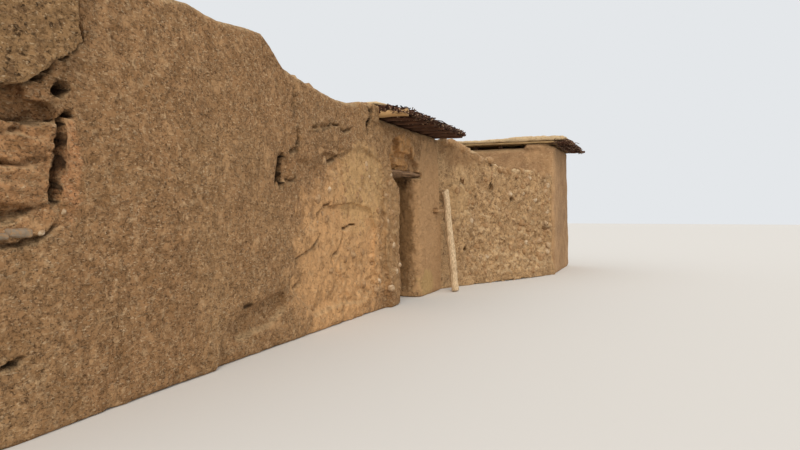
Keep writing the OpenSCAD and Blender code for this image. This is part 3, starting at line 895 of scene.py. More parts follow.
@dataclass
class BrushEave:
    """Brushwood on the eave poles: a matted core, sticks along and across it, and cut ends that stand up in front."""

    title: str
    node: str
    low: Point
    high: Point
    counts: dict[Lay, int]
    seed: int
    finish: Finish
    stub_long: tuple[float, float] = (0.05, 0.12)
    sag: float = 0.08
    left_sag: float = 0.25

    def hang(self, x: np.ndarray | float, y: np.ndarray | float) -> np.ndarray | float:
        """Measures how far the mat sags over the ends of its poles, most at the left.

        Args:
            x: The place along the wall, from the mat's left end.
            y: The place behind the mat's front edge.

        Returns:
            How far it hangs down, in metres.
        """
        return self.sag * np.clip(1 - y / 0.35, 0, 1) * (1 + self.left_sag * np.clip(1 - x / 0.9, 0, 1))

    def core(self) -> bpy.types.Object:
        """Models the matted core from the solid.

        Returns:
            The core.
        """
        core = solid_copy((self.node,), "matted_brush")
        modify(core, "REMESH", mode="VOXEL", voxel_size=0.02, adaptivity=0.0)
        relief(core, "CLOUDS", 0.06, 0.035, 0.65, depth=3, hard=True, stretch=(3.0, 1.0, 1.0))
        places = vertices(core)
        places[:, 2] -= self.hang(places[:, 0] - self.low[0], places[:, 1] - self.low[1])
        core.data.vertices.foreach_set("co", places.ravel())
        core.data.update()
        return core

    def place(self, lay: Lay, chance: random.Random) -> Matrix:
        """Finds a place for one twig.

        Args:
            lay: Which way the twig lies.
            chance: The source of the twig's own differences.

        Returns:
            Where a twig of one metre along X goes.
        """
        size = Vector(self.high) - Vector(self.low)
        thick = chance.uniform(0.6, 1.5)
        level = chance.random()
        tip = chance.gauss(0.0, 0.03)
        if lay is Lay.ALONG:
            length = chance.uniform(0.2, 0.6) * size.x
            back = chance.uniform(0.02, size.y * 0.9)
            spot = Vector((chance.uniform(0, size.x - length), back, size.z * (0.35 + 0.45 * level)))
            spot.z -= self.hang(spot.x, back)
            turn = chance.gauss(0, 0.05)
        elif lay is Lay.ACROSS:
            length = chance.uniform(0.4, 0.9) * size.y
            spot = Vector((chance.uniform(0.03, size.x - 0.03), length + abs(chance.gauss(0, 0.05)),
                           size.z * (0.40 + 0.45 * level)))
            turn = -math.pi / 2 + chance.gauss(0, 0.14)
            tip = chance.uniform(0.6, 1.4) * self.hang(spot.x, 0.0) / length
        else:
            length = chance.uniform(*self.stub_long)
            thick *= 1.5
            spot = Vector((chance.uniform(0.02, size.x - 0.02), 0.07 + 0.11 * level, size.z * (0.25 + 0.35 * level)))
            turn = -math.pi / 2 + chance.gauss(0, 0.5)
            if chance.random() < 0.12:
                # Some stand out over the left end of the mat
                spot.x, spot.y, turn = 0.08, chance.uniform(0.1, 0.6), math.pi + chance.gauss(0, 0.5)
            spot.z -= self.hang(spot.x, spot.y) * 0.8
            tip = -chance.triangular(-0.6, 0.95, 0.1)
        return (Matrix.Translation(Vector(self.low) + spot) @ Matrix.Rotation(turn, 4, "Z")
                @ Matrix.Rotation(tip, 4, "Y") @ Matrix.Rotation(chance.uniform(0, math.tau), 4, "X")
                @ Matrix.Diagonal((length, thick, thick, 1.0)))

    def build(self) -> bpy.types.Object:
        """Lays the brushwood.

        Returns:
            The brushwood as one piece.
        """
        chance = random.Random(self.seed)
        shapes = [log_along_x("twig", 0.0075, 1.0, 5, 4, 0.02, 20 + i) for i in range(3)]
        made = [self.core()]
        for lay, count in self.counts.items():
            made += [placed_copy(chance.choice(shapes), self.place(lay, chance)) for _ in range(count)]
        scrap(*shapes)
        piece = join(made, self.title)
        keep_within(piece, self.low, self.high)
        finish_piece(piece, self.finish.make(), "brushwood", self.node)
        return piece


@dataclass
class LeaningPost:
    """The old post that leans on the ruined wall: crooked, split and broken at the top."""

    finish: Finish
    radius: float = 0.074
    prong_from: float = 0.90
    prong_long: float = 0.20
    prong_out: float = 0.10

    def build(self) -> bpy.types.Object:
        """Builds the post along the line of its solid.

        Returns:
            The post.
        """
        solid = solid_copy(("leaning_post",), "post_room")
        places = vertices(solid)
        scrap(solid)
        foot_z, head_z = places[:, 2].min(), places[:, 2].max()
        foot = Vector(places[places[:, 2] < foot_z + 0.03].mean(axis=0))
        head = Vector(places[places[:, 2] > head_z - 0.06].mean(axis=0))
        foot.z = foot_z
        run = head - foot
        shape = log_along_x("leaning_wood", self.radius, run.length + 0.03, 18, 22, 0.007, 8, 0.09, 0.07)
        turn = run.to_track_quat("X", "Z").to_matrix().to_4x4()
        # The head is forked: a short broken prong stands beside the trunk
        prong = log_along_x("broken_prong", self.radius * 0.60, self.prong_long, 12, 6, 0.006, 9, 0.12, 0.05)
        side = Matrix.Translation(foot + run * self.prong_from) @ Matrix.Rotation(-0.85, 4, "Y") @ turn
        piece = join([placed_copy(shape, Matrix.Translation(foot) @ turn), placed_copy(prong, side)], "weathered_post")
        scrap(shape, prong)
        modify(piece, "SUBSURF", levels=1, render_levels=1)
        relief(piece, "CLOUDS", 0.05, 0.020, 0.55, depth=3, stretch=(1.0, 1.0, 3.0))
        low = places.min(axis=0) - (self.prong_out, 0.0, 0.0)
        keep_within(piece, (low[0], low[1], 0.0), tuple(places.max(axis=0)))
        smooth(piece, 60.0)
        finish_piece(piece, self.finish.make(), "weathered_wood", "leaning_post")
        return piece


@dataclass
class FlatStones:
    """Flat field stones: the ledge in the right pier, and those laid in the wall at the left."""

    finish: Finish
    ledge_finish: Finish
    laid: tuple[tuple[Point, Point, float], ...]

    def rough(self, piece: bpy.types.Object) -> None:
        """Roughens a stone block.

        Args:
            piece: The block.
        """
        corners = vertices(piece)
        modify(piece, "BEVEL", width=0.012, segments=2, limit_method="ANGLE")
        modify(piece, "REMESH", mode="VOXEL", voxel_size=0.008, adaptivity=0.0)
        modify(piece, "SMOOTH", factor=0.5, iterations=5)
        relief(piece, "CLOUDS", 0.10, 0.040, 0.55, depth=3)
        keep_within(piece, corners.min(axis=0), corners.max(axis=0))
        smooth(piece, 60.0)

    def build(self) -> None:
        """Builds the ledge in the room of its solid, and then the stones at the left."""
        ledge = solid_copy(("ledge_stone",), "flat_ledge_stone")
        self.rough(ledge)
        finish_piece(ledge, self.ledge_finish.make(), "field_stone", "ledge_stone")
        made = []
        for middle, size, tilt in self.laid:
            deselect()
            bpy.ops.mesh.primitive_cube_add(size=1.0, location=middle, scale=size, rotation=(0.0, tilt, 0.0))
            bpy.ops.object.transform_apply(location=True, rotation=True, scale=True)
            stone = named("laid_stone")
            self.rough(stone)
            made.append(stone)
        finish_piece(join(made, "stones_in_front"), self.finish.make(), "field_stone")


@dataclass
class Studio:
    """A plain pale floor, soft light and the camera where the photograph was taken from."""

    camera_place: Point = (-9.757, -4.458, 1.45)
    camera_towards: Point = (0.928, 0.373, -0.0193)
    lens_mm: float = 28.0
    floor_size: float = 160.0
    sky_light: float = 0.97
    sun_light: float = 1.45

    def build(self) -> None:
        """Builds the floor, the lamps, the world and the camera."""
        deselect()
        bpy.ops.mesh.primitive_plane_add(size=self.floor_size)
        floor = named("studio_floor")
        material = bpy.data.materials.new("studio_floor")
        material.use_nodes = True
        tree = material.node_tree
        tree.nodes.clear()
        shader = add(tree, "ShaderNodeBsdfPrincipled", {"Base Color": linear("#d9d6d0"), "Roughness": 0.9,
                                                        "Specular IOR Level": 0.1})
        add(tree, "ShaderNodeOutputMaterial", {"Surface": shader.outputs[0]})
        floor.data.materials.append(material)
        self.light()
        camera = bpy.data.cameras.new("photo_camera")
        camera.lens = self.lens_mm
        camera.sensor_width = 36.0
        camera.clip_end = 500.0
        stand = bpy.data.objects.new("photo_camera", camera)
        bpy.context.scene.collection.objects.link(stand)
        stand.location = self.camera_place
        stand.rotation_euler = Vector(self.camera_towards).to_track_quat("-Z", "Y").to_euler()
        bpy.context.scene.camera = stand
        bpy.context.scene.view_settings.view_transform = "Standard"

    def light(self) -> None:
        """Adds an overcast sky and a weak, very soft sun from the front left."""
        world = bpy.data.worlds.new("overcast")
        bpy.context.scene.world = world
        world.use_nodes = True
        tree = world.node_tree
        tree.nodes.clear()
        path = add(tree, "ShaderNodeLightPath")
        seen = add(tree, "ShaderNodeMath", {0: path.outputs["Is Camera Ray"], 1: path.outputs["Is Glossy Ray"]},
                   operation="MAXIMUM").outputs[0]
        colour = add(tree, "ShaderNodeMixRGB", {"Fac": seen, "Color1": linear("#f1f2f4"),
                                                "Color2": linear("#e4e7ea")}).outputs[0]
        strength = add(tree, "ShaderNodeMapRange", {"Value": seen, "To Min": self.sky_light, "To Max": 1.0}).outputs[0]
        sky = add(tree, "ShaderNodeBackground", {"Color": colour, "Strength": strength})
        add(tree, "ShaderNodeOutputWorld", {"Surface": sky.outputs[0]})
        sun = bpy.data.lights.new("soft_sun", "SUN")
        sun.energy = self.sun_light
        sun.angle = math.radians(35)
        sun.color = linear("#fff4e6")[:3]
        lamp = bpy.data.objects.new("soft_sun", sun)
        bpy.context.scene.collection.objects.link(lamp)
        lamp.rotation_euler = Vector((0.85, 0.45, -0.75)).to_track_quat("-Z", "Y").to_euler()


# Rammed earth of the tall wall: brown, with straw and grit all over, red where its face has come off
# at the left and buff where the earth lies bare at the right, with painted shade on the door's right reveal, at the top
# of the doorway and in the cracks and holes, and pale dust with painted top light where it looks up
FRONT_EARTH = Finish("rammed_earth_with_straw", "#9c7752", CLOUDY + (
    Layer("#b3845a", 230.0, 0.72, 1.02, 0.70, centre=(-7.05, -0.75, 1.80), reach=(0.75, 0.7, 0.75), detail=5.0),
    Layer("#b8845a", 90.0, 0.78, 0.92, 0.80, centre=(-6.63, -0.80, 1.76), reach=(0.13, 0.5, 0.48), detail=5.0),
    Layer("#7d5f41", 260.0, 0.70, 0.95, 0.22, centre=(-2.95, -0.75, 2.45), reach=(0.95, 0.6, 0.50), detail=5.0),
) + STRAWY + (
    Layer("#dbaa76", 240.0, 0.68, 0.90, 0.78, centre=(-2.40, -0.75, 0.85), reach=(1.80, 0.9, 1.60), detail=5.0),
    Layer("#cda673", 200.0, 0.72, 0.98, 0.72, centre=(-1.85, -0.75, 1.80), reach=(1.15, 0.7, 0.85), detail=5.0),
    Layer("#a9865e", 180.0, 0.76, 0.96, 0.75, centre=(-0.90, -0.75, 1.30), reach=(0.50, 0.6, 1.70), detail=5.0),
    Layer("#c4935f", 150.0, 0.78, 0.98, 0.85, centre=(-0.35, -0.75, 2.35), reach=(0.75, 0.6, 0.55), detail=4.0),
) + BROKEN + (
    Layer("#bf976c", 200.0, 0.58, 0.72, 0.75, centre=(0.95, -0.85, 1.15), reach=(1.05, 0.8, 2.1), detail=3.0),
    Layer("#bd9d69", 180.0, 0.86, 1.05, 0.70, centre=(0.60, -0.85, 0.20), reach=(0.60, 0.6, 0.45), detail=4.0),
    # Painted shade on the reveal of the right door pier
    Layer("#876541", 150.0, 0.70, 0.90, 0.75, centre=(0.23, -0.40, 1.20), reach=(0.14, 0.38, 1.60), detail=3.0),
    # Painted shade at the top of the doorway, under the lintel
    Layer("#3d2a20", 60.0, 0.66, 0.90, 0.80, centre=(-0.10, -0.50, 2.00), reach=(0.48, 0.36, 0.15), detail=3.0),
), dust_and_top_light="#c3a67d", shade="#23170f")
# The same earth where it faces away from the weather, plainer and a little paler
PLAIN_EARTH = Finish("rammed_earth_plain", "#9e7a55", CLOUDY + STRAWY, dust_and_top_light="#c3a67d")
# Smooth mud plaster of the small room, buff and finer than the tall wall
SMALL_EARTH = Finish("mud_plaster_buff", "#c09a71", CLOUDY[:1] + (
    Layer("#93704c", 160.0, 0.52, 0.30, 0.32, -6.0, detail=6.0, seed=41.0),
    Layer("#85664a", 300.0, 0.30, 0.80, 0.85, centre=(6.90, -2.90, 1.60), reach=(2.4, 0.7, 2.9), detail=4.0),
    Layer("#94734f", 420.0, 0.50, 0.74, 0.35, seed=7.0, stretch=(1.2, 1.2, 2.2), detail=4.0),
    Layer("#000000", 60.0, 0.30, 0.70, 0.0, 9.0, seed=5.0, detail=5.0),
    Layer("#cdb087", 30.0, 0.56, 0.70, 0.45, 2.0, (1.8, 1.8, 1.0), 2.0, 1.0),
    Layer("#6a4e34", 34.0, 0.42, 0.32, 0.50, -4.0, seed=11.0),
), dust_and_top_light="#c3a67d")
# Mud with cobbles and gravel in it, patchy, with dark holes, pale dust with painted top light where it looks up, and
# painted shade in a hollow by the small room
RUBBLE_EARTH = Finish("rubble_in_mud", "#c09c71", CLOUDY + (
    Layer("#c7a47b", 110.0, 0.52, 0.64, 0.68, 8.0, detail=5.0, seed=21.0),
    Layer("#70523a", 90.0, 0.45, 0.30, 0.78, -10.0, detail=5.0, seed=23.0),
) + STRAWY + (
    Layer("#93704d", 240.0, 0.74, 0.96, 0.70, centre=(2.2, -1.0, 2.70), reach=(1.3, 0.9, 0.50), detail=4.0),
    Layer("#bf9c70", 200.0, 0.74, 0.98, 0.62, centre=(2.1, -1.1, 1.85), reach=(0.70, 0.8, 0.75), detail=4.0),
    # Painted shade in a hollow near the small room
    Layer("#6e4f33", 90.0, 0.88, 1.02, 0.85, centre=(5.02, -2.24, 1.12), reach=(0.26, 0.4, 0.24), detail=4.0),
), dust_and_top_light="#dfc59c")
# Thick mud render with chopped straw, rougher than the earth under it, with dark pits
LOBE_EARTH = Finish("straw_mud_render", "#967550", CLOUDY + (
    Layer("#6b4e35", 90.0, 0.48, 0.36, 0.55, -8.0, detail=5.0, seed=33.0),
    Layer("#3a2819", 42.0, 0.40, 0.33, 0.85, -9.0, (1.4, 1.4, 1.0), 3.0, 31.0),
) + STRAWY, dust_and_top_light="#b89a70")
# Roof mud bleached by sun and rain
ROOF_EARTH = Finish("bleached_roof_mud", "#cbb089", CLOUDY[1:] + (
    Layer("#dcc8a2", 300.0, 0.50, 0.70, 0.6, seed=8.0),
    Layer("#000000", 55.0, 0.30, 0.70, 0.0, 9.0, seed=5.0, detail=5.0),
    Layer("#8d7452", 34.0, 0.43, 0.32, 0.60, -4.0, seed=12.0),
))
# Dusty cobbles, and the same stones with the wall's mud over them
PALE_STONE = Finish("river_cobble", "#b99d7b", (
    Layer("#d3c0a2", 190.0, 0.45, 0.60, 0.6, seed=9.0, detail=0.0),
    Layer("#9d7b58", 45.0, 0.46, 0.60, 0.8, 2.0, detail=4.0, seed=3.0),
), 0.85, 0.25)
MUDDY_STONE = Finish("cobble_in_mud", "#a88660", (
    Layer("#b59570", 170.0, 0.48, 0.60, 0.7, seed=9.0, detail=0.0),
    Layer("#8d6b48", 40.0, 0.44, 0.60, 0.85, 3.0, detail=4.0, seed=3.0),
), 0.9, 0.2)
GREY_STONE = Finish("grey_field_stone", "#958470", (
    Layer("#897a66", 60.0, 0.46, 0.58, 0.8, seed=4.0),
    Layer("#a3815c", 26.0, 0.48, 0.60, 0.8, 2.0, detail=4.0, seed=3.0),
), 0.85, 0.25)
# Dry brushwood, from dark purple-brown in its shade to straw-coloured cut ends
BRUSH = Finish("dry_brushwood", "#42291f", (
    Layer("#5f4030", 45.0, 0.42, 0.60, 0.9, 2.0, detail=2.0, seed=6.0),
    Layer("#c2a585", 34.0, 0.56, 0.64, 0.80, detail=1.0, seed=16.0),
    Layer("#22140f", 60.0, 0.46, 0.38, 0.90, detail=1.0, seed=26.0),
), 0.9, 0.15)


def wood(title: str, body: str, deep: str, along: Point, grain_mm: float = 13.0) -> Finish:
    """Describes round wood left in the weather: silvered grain with dark drying cracks along it.

    Args:
        title: The wood's name.
        body: Its colour.
        deep: The colour of its cracks and stains.
        along: How much longer the grain is along each axis.
        grain_mm: Width of the grain, in millimetres.

    Returns:
        The finish.
    """
    return Finish(title, body, (
        Layer(deep, grain_mm, 0.56, 0.36, 0.85, -4.0, along, 4.0, 2.0),
        Layer(deep, 150.0, 0.50, 0.72, 0.45, detail=4.0, seed=4.0),
    ), 0.85, 0.2)


def front_rays(spots: Iterable[tuple[float, float, float]]) -> list[tuple[Vector, Vector, float]]:
    """Aims at places on the front face.

    Args:
        spots: X, height and size for each, in metres.

    Returns:
        A start, a direction and a size for each.
    """
    return [(Vector((x, FRONT_Y - 1.0, z)), Vector((0.0, 1.0, 0.0)), size) for x, z, size in spots]


def top_rays(spots: Iterable[tuple[float, float, float]]) -> list[tuple[Vector, Vector, float]]:
    """Aims down at places on the wall tops.

    Args:
        spots: X, Y and size for each, in metres.

    Returns:
        A start, a direction and a size for each.
    """
    return [(Vector((x, y, 4.0)), Vector((0.0, 0.0, -1.0)), size) for x, y, size in spots]


def in_ruin(share: float, z: float, deep: float) -> Point:
    """Finds a place inside the ruined wall.

    Args:
        share: The share of the wall's length.
        z: The height.
        deep: How far behind its outer face the place is.

    Returns:
        The place.
    """
    inwards = Vector((-RUIN_RUN[1], RUIN_RUN[0])).normalized() * deep
    return RUIN_START[0] + RUIN_RUN[0] * share + inwards.x, RUIN_START[1] + RUIN_RUN[1] * share + inwards.y, z


def ruin_rays(spots: Iterable[tuple[float, float, float]]) -> list[tuple[Vector, Vector, float]]:
    """Aims at places on the ruined wall.

    Args:
        spots: The share of the wall's length, the height and the size for each.

    Returns:
        A start, a direction and a size for each.
    """
    towards = Vector((-RUIN_RUN[1], RUIN_RUN[0], 0.0)).normalized()
    rays = []
    for share, z, size in spots:
        foot = Vector((RUIN_START[0] + RUIN_RUN[0] * share, RUIN_START[1] + RUIN_RUN[1] * share, z))
        rays.append((foot - towards, towards, size))
    return rays


def scattered(low: Spot, high: Spot, count: int, seed: int) -> list[tuple[float, float, float]]:
    """Scatters small stones over part of a wall.

    Args:
        low: The lowest place.
        high: The highest place.
        count: How many stones.
        seed: Makes the choice the same each time.

    Returns:
        Two coordinates and a size of 0 for each stone.
    """
    chance = random.Random(seed)
    return [(chance.uniform(low[0], high[0]), chance.uniform(low[1], high[1]), 0.0) for _ in range(count)]


# Stones that stand out in the front: X, height and size, in metres
FRONT_STONES = (
    (-1.75, 2.14, 0.07), (-0.87, 2.04, 0.06), (-1.05, 1.33, 0.07), (-2.84, 1.74, 0.07), (-3.06, 1.33, 0.08),
    (-1.25, 0.44, 0.09), (-0.60, 0.62, 0.08), (-1.15, 1.72, 0.05), (-1.65, 1.97, 0.04),
    (-0.86, 0.95, 0.08), (-0.78, 0.55, 0.09), (-1.02, 0.30, 0.09), (-6.86, 1.315, 0.035), (-6.69, 1.46, 0.035),
)
# Flat stones laid in the wall at the left: the middle, the size and the tilt of each
LAID_STONES = (
    ((-7.025, -0.745, 1.325), (0.15, 0.14, 0.055), 0.06), ((-7.15, -0.740, 1.305), (0.10, 0.14, 0.040), -0.05),
)
# Deep holes in the front: X, height, half width, half height and depth
FRONT_PITS = (
    (-6.714, 1.95, 0.036, 0.15, 0.28), (-6.721, 1.87, 0.036, 0.18, 0.28), (-6.732, 1.79, 0.036, 0.18, 0.28),
    (-6.738, 1.72, 0.036, 0.18, 0.28), (-6.748, 1.65, 0.036, 0.15, 0.28), (-6.768, 1.57, 0.033, 0.07, 0.26),
    (-6.68, 2.305, 0.040, 0.035, 0.22), (-6.70, 2.270, 0.035, 0.035, 0.22),
    (-6.65, 2.12, 0.05, 0.022, 0.12), (-7.04, 2.47, 0.025, 0.02, 0.06),
    (-6.54, 2.70, 0.035, 0.08, 0.07), (-6.60, 2.61, 0.040, 0.06, 0.07), (-6.68, 2.53, 0.055, 0.035, 0.08),
    (-6.79, 2.42, 0.045, 0.040, 0.07), (-6.87, 2.34, 0.060, 0.030, 0.07),
    (-3.98, 2.03, 0.050, 0.07, 0.18), (-3.99, 1.93, 0.060, 0.10, 0.22), (-4.00, 1.82, 0.070, 0.10, 0.22),
    (-1.745, 2.895, 0.060, 0.028, 0.10), (-1.750, 2.84, 0.024, 0.08, 0.10), (-1.757, 2.74, 0.020, 0.10, 0.09),
    (-1.765, 2.62, 0.018, 0.10, 0.08), (-7.08, 0.50, 0.04, 0.03, 0.05), (-4.62, 0.53, 0.09, 0.03, 0.04),
)
# Pale stones of the ruined wall: share of its length, height and size
RUIN_STONES = (
    (0.576, 1.87, 0.10), (0.247, 1.62, 0.09), (0.233, 1.29, 0.10), (0.761, 2.13, 0.08),
    (0.938, 1.96, 0.09), (0.977, 1.79, 0.07), (0.836, 1.74, 0.10), (0.793, 1.55, 0.12), (0.960, 1.48, 0.10),
    (0.888, 0.80, 0.14), (0.960, 0.69, 0.13), (0.940, 0.57, 0.12), (0.681, 0.75, 0.10), (0.728, 0.80, 0.11),
    (0.312, 0.54, 0.09), (0.383, 0.54, 0.09), (0.488, 1.53, 0.07), (0.301, 2.02, 0.06), (0.963, 2.10, 0.10),
    (0.714, 1.88, 0.08), (0.950, 1.22, 0.09), (0.925, 2.20, 0.09), (0.780, 2.24, 0.10),
)
# Clods on top of the front wall and stones along the top of the ruined wall: X, Y and size
FRONT_CLODS = (
    (-3.60, -0.64, 0.10), (-3.26, -0.66, 0.14), (-2.86, -0.62, 0.11), (-2.10, -0.66, 0.12), (-1.72, -0.64, 0.15),
)
RUIN_CLODS = (
    (1.72, -0.72, 0.17), (1.90, -0.82, 0.20), (2.07, -0.86, 0.17), (2.24, -0.96, 0.19), (2.50, -1.04, 0.11),
    (2.83, -1.20, 0.14), (3.12, -1.31, 0.17), (3.50, -1.47, 0.11), (3.71, -1.58, 0.13), (4.22, -1.79, 0.15),
    (4.40, -1.86, 0.19), (4.72, -2.01, 0.17), (4.94, -2.10, 0.20), (5.12, -2.17, 0.15),
)
# Open cracks in the front, each a line of X and height
FRONT_CRACKS = (
    ((-6.55, 3.05), (-6.54, 2.82), (-6.53, 2.72), (-6.58, 2.64), (-6.63, 2.57), (-6.73, 2.51)),
    ((-6.73, 2.48), (-6.78, 2.43), (-6.84, 2.36), (-6.91, 2.31), (-6.97, 2.26), (-7.11, 2.22)),
    ((-3.66, 2.79), (-3.70, 2.67), (-3.74, 2.54)), ((-3.64, 2.33), (-3.65, 2.23), (-3.67, 2.15), (-3.81, 2.11)),
    ((-3.64, 1.86), (-3.74, 1.81), (-3.86, 1.78)), ((-1.68, 2.92), (-1.70, 2.74), (-1.72, 2.57)),
    ((-1.66, 2.88), (-1.69, 2.70)), ((-3.31, 2.41), (-3.03, 2.47), (-2.83, 2.56), (-2.63, 2.57)),
    ((-2.57, 2.53), (-2.46, 2.51), (-2.28, 2.57)), ((-2.80, 1.58), (-2.98, 1.54), (-3.06, 1.43), (-3.08, 1.33)),
    ((-2.98, 1.19), (-3.15, 1.04), (-3.41, 0.98), (-3.61, 0.91), (-3.69, 0.80)),
    ((-2.37, 1.18), (-2.42, 1.06), (-2.51, 0.93), (-2.66, 0.82)), ((-2.37, 1.24), (-2.19, 1.28), (-2.00, 1.29)),
    ((-3.40, 0.78), (-3.47, 0.64), (-3.60, 0.59)), ((-2.98, 2.05), (-2.80, 2.10), (-2.62, 2.20)),
    ((1.47, 2.83), (1.45, 2.60), (1.43, 2.30)),
    ((-7.50, 2.02), (-7.15, 2.05), (-6.95, 2.03), (-6.82, 2.10)), ((-7.45, 1.97), (-7.10, 1.95), (-6.99, 1.99)),
    ((-7.50, 1.80), (-7.16, 1.78), (-6.98, 1.76), (-6.82, 1.81)), ((-7.16, 1.46), (-6.96, 1.45), (-6.84, 1.50)),
    ((-7.20, 1.28), (-7.00, 1.25), (-6.88, 1.28), (-6.74, 1.37)), ((-7.15, 0.49), (-7.01, 0.53)),
)
# Earth heaped on the wall tops: X and height, in metres
FRONT_RAISED = (
    (-8.00, 0.0), (-6.00, 0.02), (-5.40, 0.07), (-5.00, 0.03), (-4.60, 0.07), (-4.35, 0.14), (-4.15, 0.14),
    (-3.90, 0.10), (-3.45, 0.06), (-3.10, 0.045), (-2.70, 0.0),
)
RUIN_RAISED = (
    (1.50, 0.12), (2.10, 0.09), (2.60, 0.14), (2.90, 0.16), (3.13, 0.21), (3.60, 0.14), (3.90, 0.08), (4.25, 0.10),
    (4.60, 0.14), (5.00, 0.07), (5.30, 0.08),
)
SMALL_RAISED = ((5.20, 0.0), (5.60, 0.03), (8.10, 0.06))
# Holes of the ruined wall that are filled with mud: share of its length, height and size
RUIN_PLUGS = ((0.28, 1.97, 0.20), (0.36, 1.335, 0.20), (0.78, 1.19, 0.20), (0.82, 1.02, 0.18), (0.52, 0.85, 0.20),
              (0.68, 2.16, 0.20))


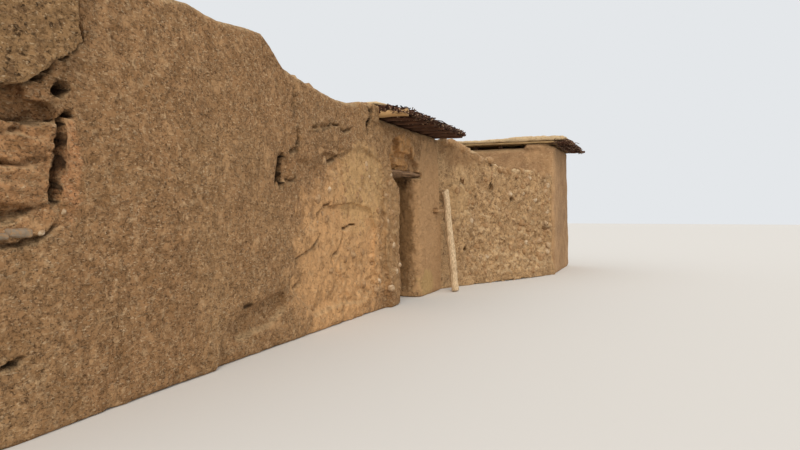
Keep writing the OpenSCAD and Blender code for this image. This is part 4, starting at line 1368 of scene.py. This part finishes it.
def main() -> None:
    """Builds the studio and every piece of the house, in order."""
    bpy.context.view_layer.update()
    Studio().build()
    front = EarthWalls(
        "front_walls", ("front_wall", "door_pier_left", "door_pier_right", "wall_over_door"), "rammed_earth",
        0.021, FRONT_EARTH, Weathering.WORN,
        ruined=(((-2.0, -0.72, 0.45), (1.5, 0.5, 0.6)), ((-1.0, -0.72, 1.30), (0.55, 0.5, 1.3)),
                ((-0.3, -0.72, 2.2), (0.6, 0.5, 0.4))),
        layered=(((-7.15, -0.75, 1.75), (0.60, 0.5, 0.65)), ((-2.75, -0.75, 2.15), (0.55, 0.35, 0.30))),
        soft_foot=0.65, raised=FRONT_RAISED,
        fills=(((-7.62, -0.785, 1.76), (-6.722, -0.45, 2.05)), ((-7.62, -0.78, 1.50), (-6.738, -0.45, 1.80)),
               ((-6.74, -0.79, 1.55), (-6.66, -0.45, 2.07)), ((-6.94, -0.73, 2.18), (-6.72, -0.40, 2.44)),
               ((-6.88, -0.745, 2.32), (-6.60, -0.40, 2.64)),
               ((-2.06, -0.78, 2.75), (-1.62, -0.36, 2.97)), ((-1.72, -0.79, 2.75), (-1.41, -0.36, 3.01)),
               ((-0.54, -0.75, 2.42), (-0.02, -0.45, 2.60)), ((-0.64, -0.71, 2.20), (-0.20, -0.45, 2.35)),
               ((-1.00, -0.73, 2.36), (-0.74, -0.50, 2.56))),
        pits=FRONT_PITS, cracks=FRONT_CRACKS, kept_front=FRONT_Y + 0.30, kept_share=0.55,
    ).build()
    EarthWalls(
        "rear_walls", ("left_end_wall", "back_wall", "court_side_wall_front", "court_side_wall_back",
                       "wall_over_court_door"), "rammed_earth", 0.055, PLAIN_EARTH, Weathering.PLAIN,
    ).build()
    ruined = EarthWalls(
        "ruined_wall", ("ruined_court_wall",), "rubble_and_mud", 0.024, RUBBLE_EARTH, Weathering.RUINED,
        ruined=(((3.6, -1.6, 1.3), (2.6, 1.7, 2.0)),), swollen=(((2.15, -1.0, 1.50), (0.42, 0.6, 0.85)),),
        swell=0.08, raised=RUIN_RAISED, plugs=tuple((in_ruin(share, z, across * 0.42), across)
                                                    for share, z, across in RUIN_PLUGS),
        lumps=(("CLOUDS", 0.50, 0.16), ("CLOUDS", 0.18, 0.08), ("VORONOI", 0.14, 0.035)),
    ).build()
    EarthWalls("court_rear_wall", ("court_back_wall",), "rammed_earth", 0.05, PLAIN_EARTH, Weathering.WORN).build()
    EarthWalls(
        "small_room_walls", ("small_front_wall", "small_end_wall", "small_back_wall", "small_court_wall_front",
                             "small_court_wall_back", "wall_over_small_door"), "rammed_earth", 0.05,
        SMALL_EARTH, Weathering.PLAIN, fills=(((5.245, -2.06, 2.98), (5.66, -1.66, 3.11)),), raised=SMALL_RAISED,
    ).build()
    MudSkin("render_remnant", "render_lobe", "mud_render", LOBE_EARTH, 0.014, 6, 0.16, 0.030).build()
    MudSkin("main_roof_mud", "mud_roof", "roof_mud", ROOF_EARTH, 0.06).build()
    MudSkin("entrance_mud_cap", "eave_mud_cap", "roof_mud", ROOF_EARTH, 0.022, 2, set_back=0.17).build()
    MudSkin("small_roof_mud", "small_mud_roof", "roof_mud", ROOF_EARTH, 0.036, 2, 0.40, 0.045, 0.042).build()
    Cobbles("ruined_wall_stones", ruined, PALE_STONE, 11).build(ruin_rays(RUIN_STONES))
    Cobbles("ruined_wall_gravel", ruined, MUDDY_STONE, 12, 0.035, 0.13, 0.78).build(
        ruin_rays(scattered((0.06, 0.15), (0.97, 2.3), 90, 21) + scattered((0.55, 0.4), (0.97, 2.35), 100, 22)))
    Cobbles("ruined_wall_clods", ruined, MUDDY_STONE, 16, sunk=0.75).build(top_rays(RUIN_CLODS))
    Cobbles("front_stones", front, PALE_STONE, 13).build(front_rays(FRONT_STONES))
    Cobbles("front_gravel", front, MUDDY_STONE, 14, 0.035, 0.10, 0.68).build(
        front_rays(scattered((-1.45, 0.1), (-0.62, 2.3), 60, 23) + scattered((-3.3, 0.1), (-1.4, 2.1), 40, 24)))
    Cobbles("front_wall_clods", front, MUDDY_STONE, 17, sunk=0.95).build(top_rays(FRONT_CLODS))
    FlatStones(GREY_STONE, MUDDY_STONE, LAID_STONES).build()
    y_wood = wood("debarked_pole", "#6a4a37", "#36241c", (1.0, 14.0, 1.0))
    # The first pole of the entrance eave is newer and pale
    eave_wood = replace(y_wood, layers=y_wood.layers + (
        Layer("#cda673", 90.0, 0.74, 0.86, 0.85, centre=(-1.3525, -0.95, 2.915), reach=(0.14, 0.8, 0.25)),))
    Poles("main_roof_poles", "roof_poles", 0.06, "Y", "pole_wood", y_wood, seed=2).build()
    Poles("entrance_eave_poles", "eave_poles", 0.055, "Y", "pole_wood", eave_wood, seed=30).build()
    Poles("small_room_eave_poles", "small_eave_poles", 0.028, "Y", "pole_wood", y_wood, seed=50,
          shortest=0.86, lift=0.045).build()
    x_wood = wood("debarked_cross_pole", "#6f523c", "#3a281f", (14.0, 1.0, 1.0))
    Poles("small_room_roof_poles", "small_roof_poles", 0.05, "X", "pole_wood", x_wood, seed=70).build()
    x_grey = wood("silvered_lintel_log", "#9f7d5c", "#3f2e23", (14.0, 1.0, 1.0))
    Poles("entrance_lintel", "door_lintel", 0.05, "X", "lintel_wood", x_grey, 0.010, 90, 0.034).build()
    y_grey = wood("silvered_inner_lintel", "#81756c", "#41362e", (1.0, 14.0, 1.0))
    Poles("court_lintel", "court_door_lintel", 0.05, "Y", "lintel_wood", y_grey, seed=91).build()
    Poles("small_room_lintel", "small_door_lintel", 0.05, "Y", "lintel_wood", y_grey, seed=92).build()
    Canes("main_roof_canes", "roof_canes", "X", wood("split_cane", "#b89a6c", "#7e6040", (14.0, 1.0, 1.0))).build()
    Canes("small_room_canes", "small_roof_canes", "Y",
          wood("split_cane_across", "#b89a6c", "#7e6040", (1.0, 14.0, 1.0))).build()
    BrushEave("entrance_brushwood", "eave_brush", (-1.42, -1.26, 2.88), (1.54, -0.32, 3.06),
              {Lay.ALONG: 190, Lay.ACROSS: 320, Lay.STUB: 320}, 4, BRUSH).build()
    BrushEave("small_room_brushwood", "small_eave_brush", (5.20, -2.78, 3.05), (8.02, -2.30, 3.22),
              {Lay.ALONG: 80, Lay.ACROSS: 190, Lay.STUB: 130}, 5, BRUSH, (0.05, 0.10), 0.05, 0.0).build()
    LeaningPost(wood("weathered_post_wood", "#dcc29d", "#94785a", (1.0, 1.0, 9.0), 15.0)).build()


if __name__ == "__main__":
    main()
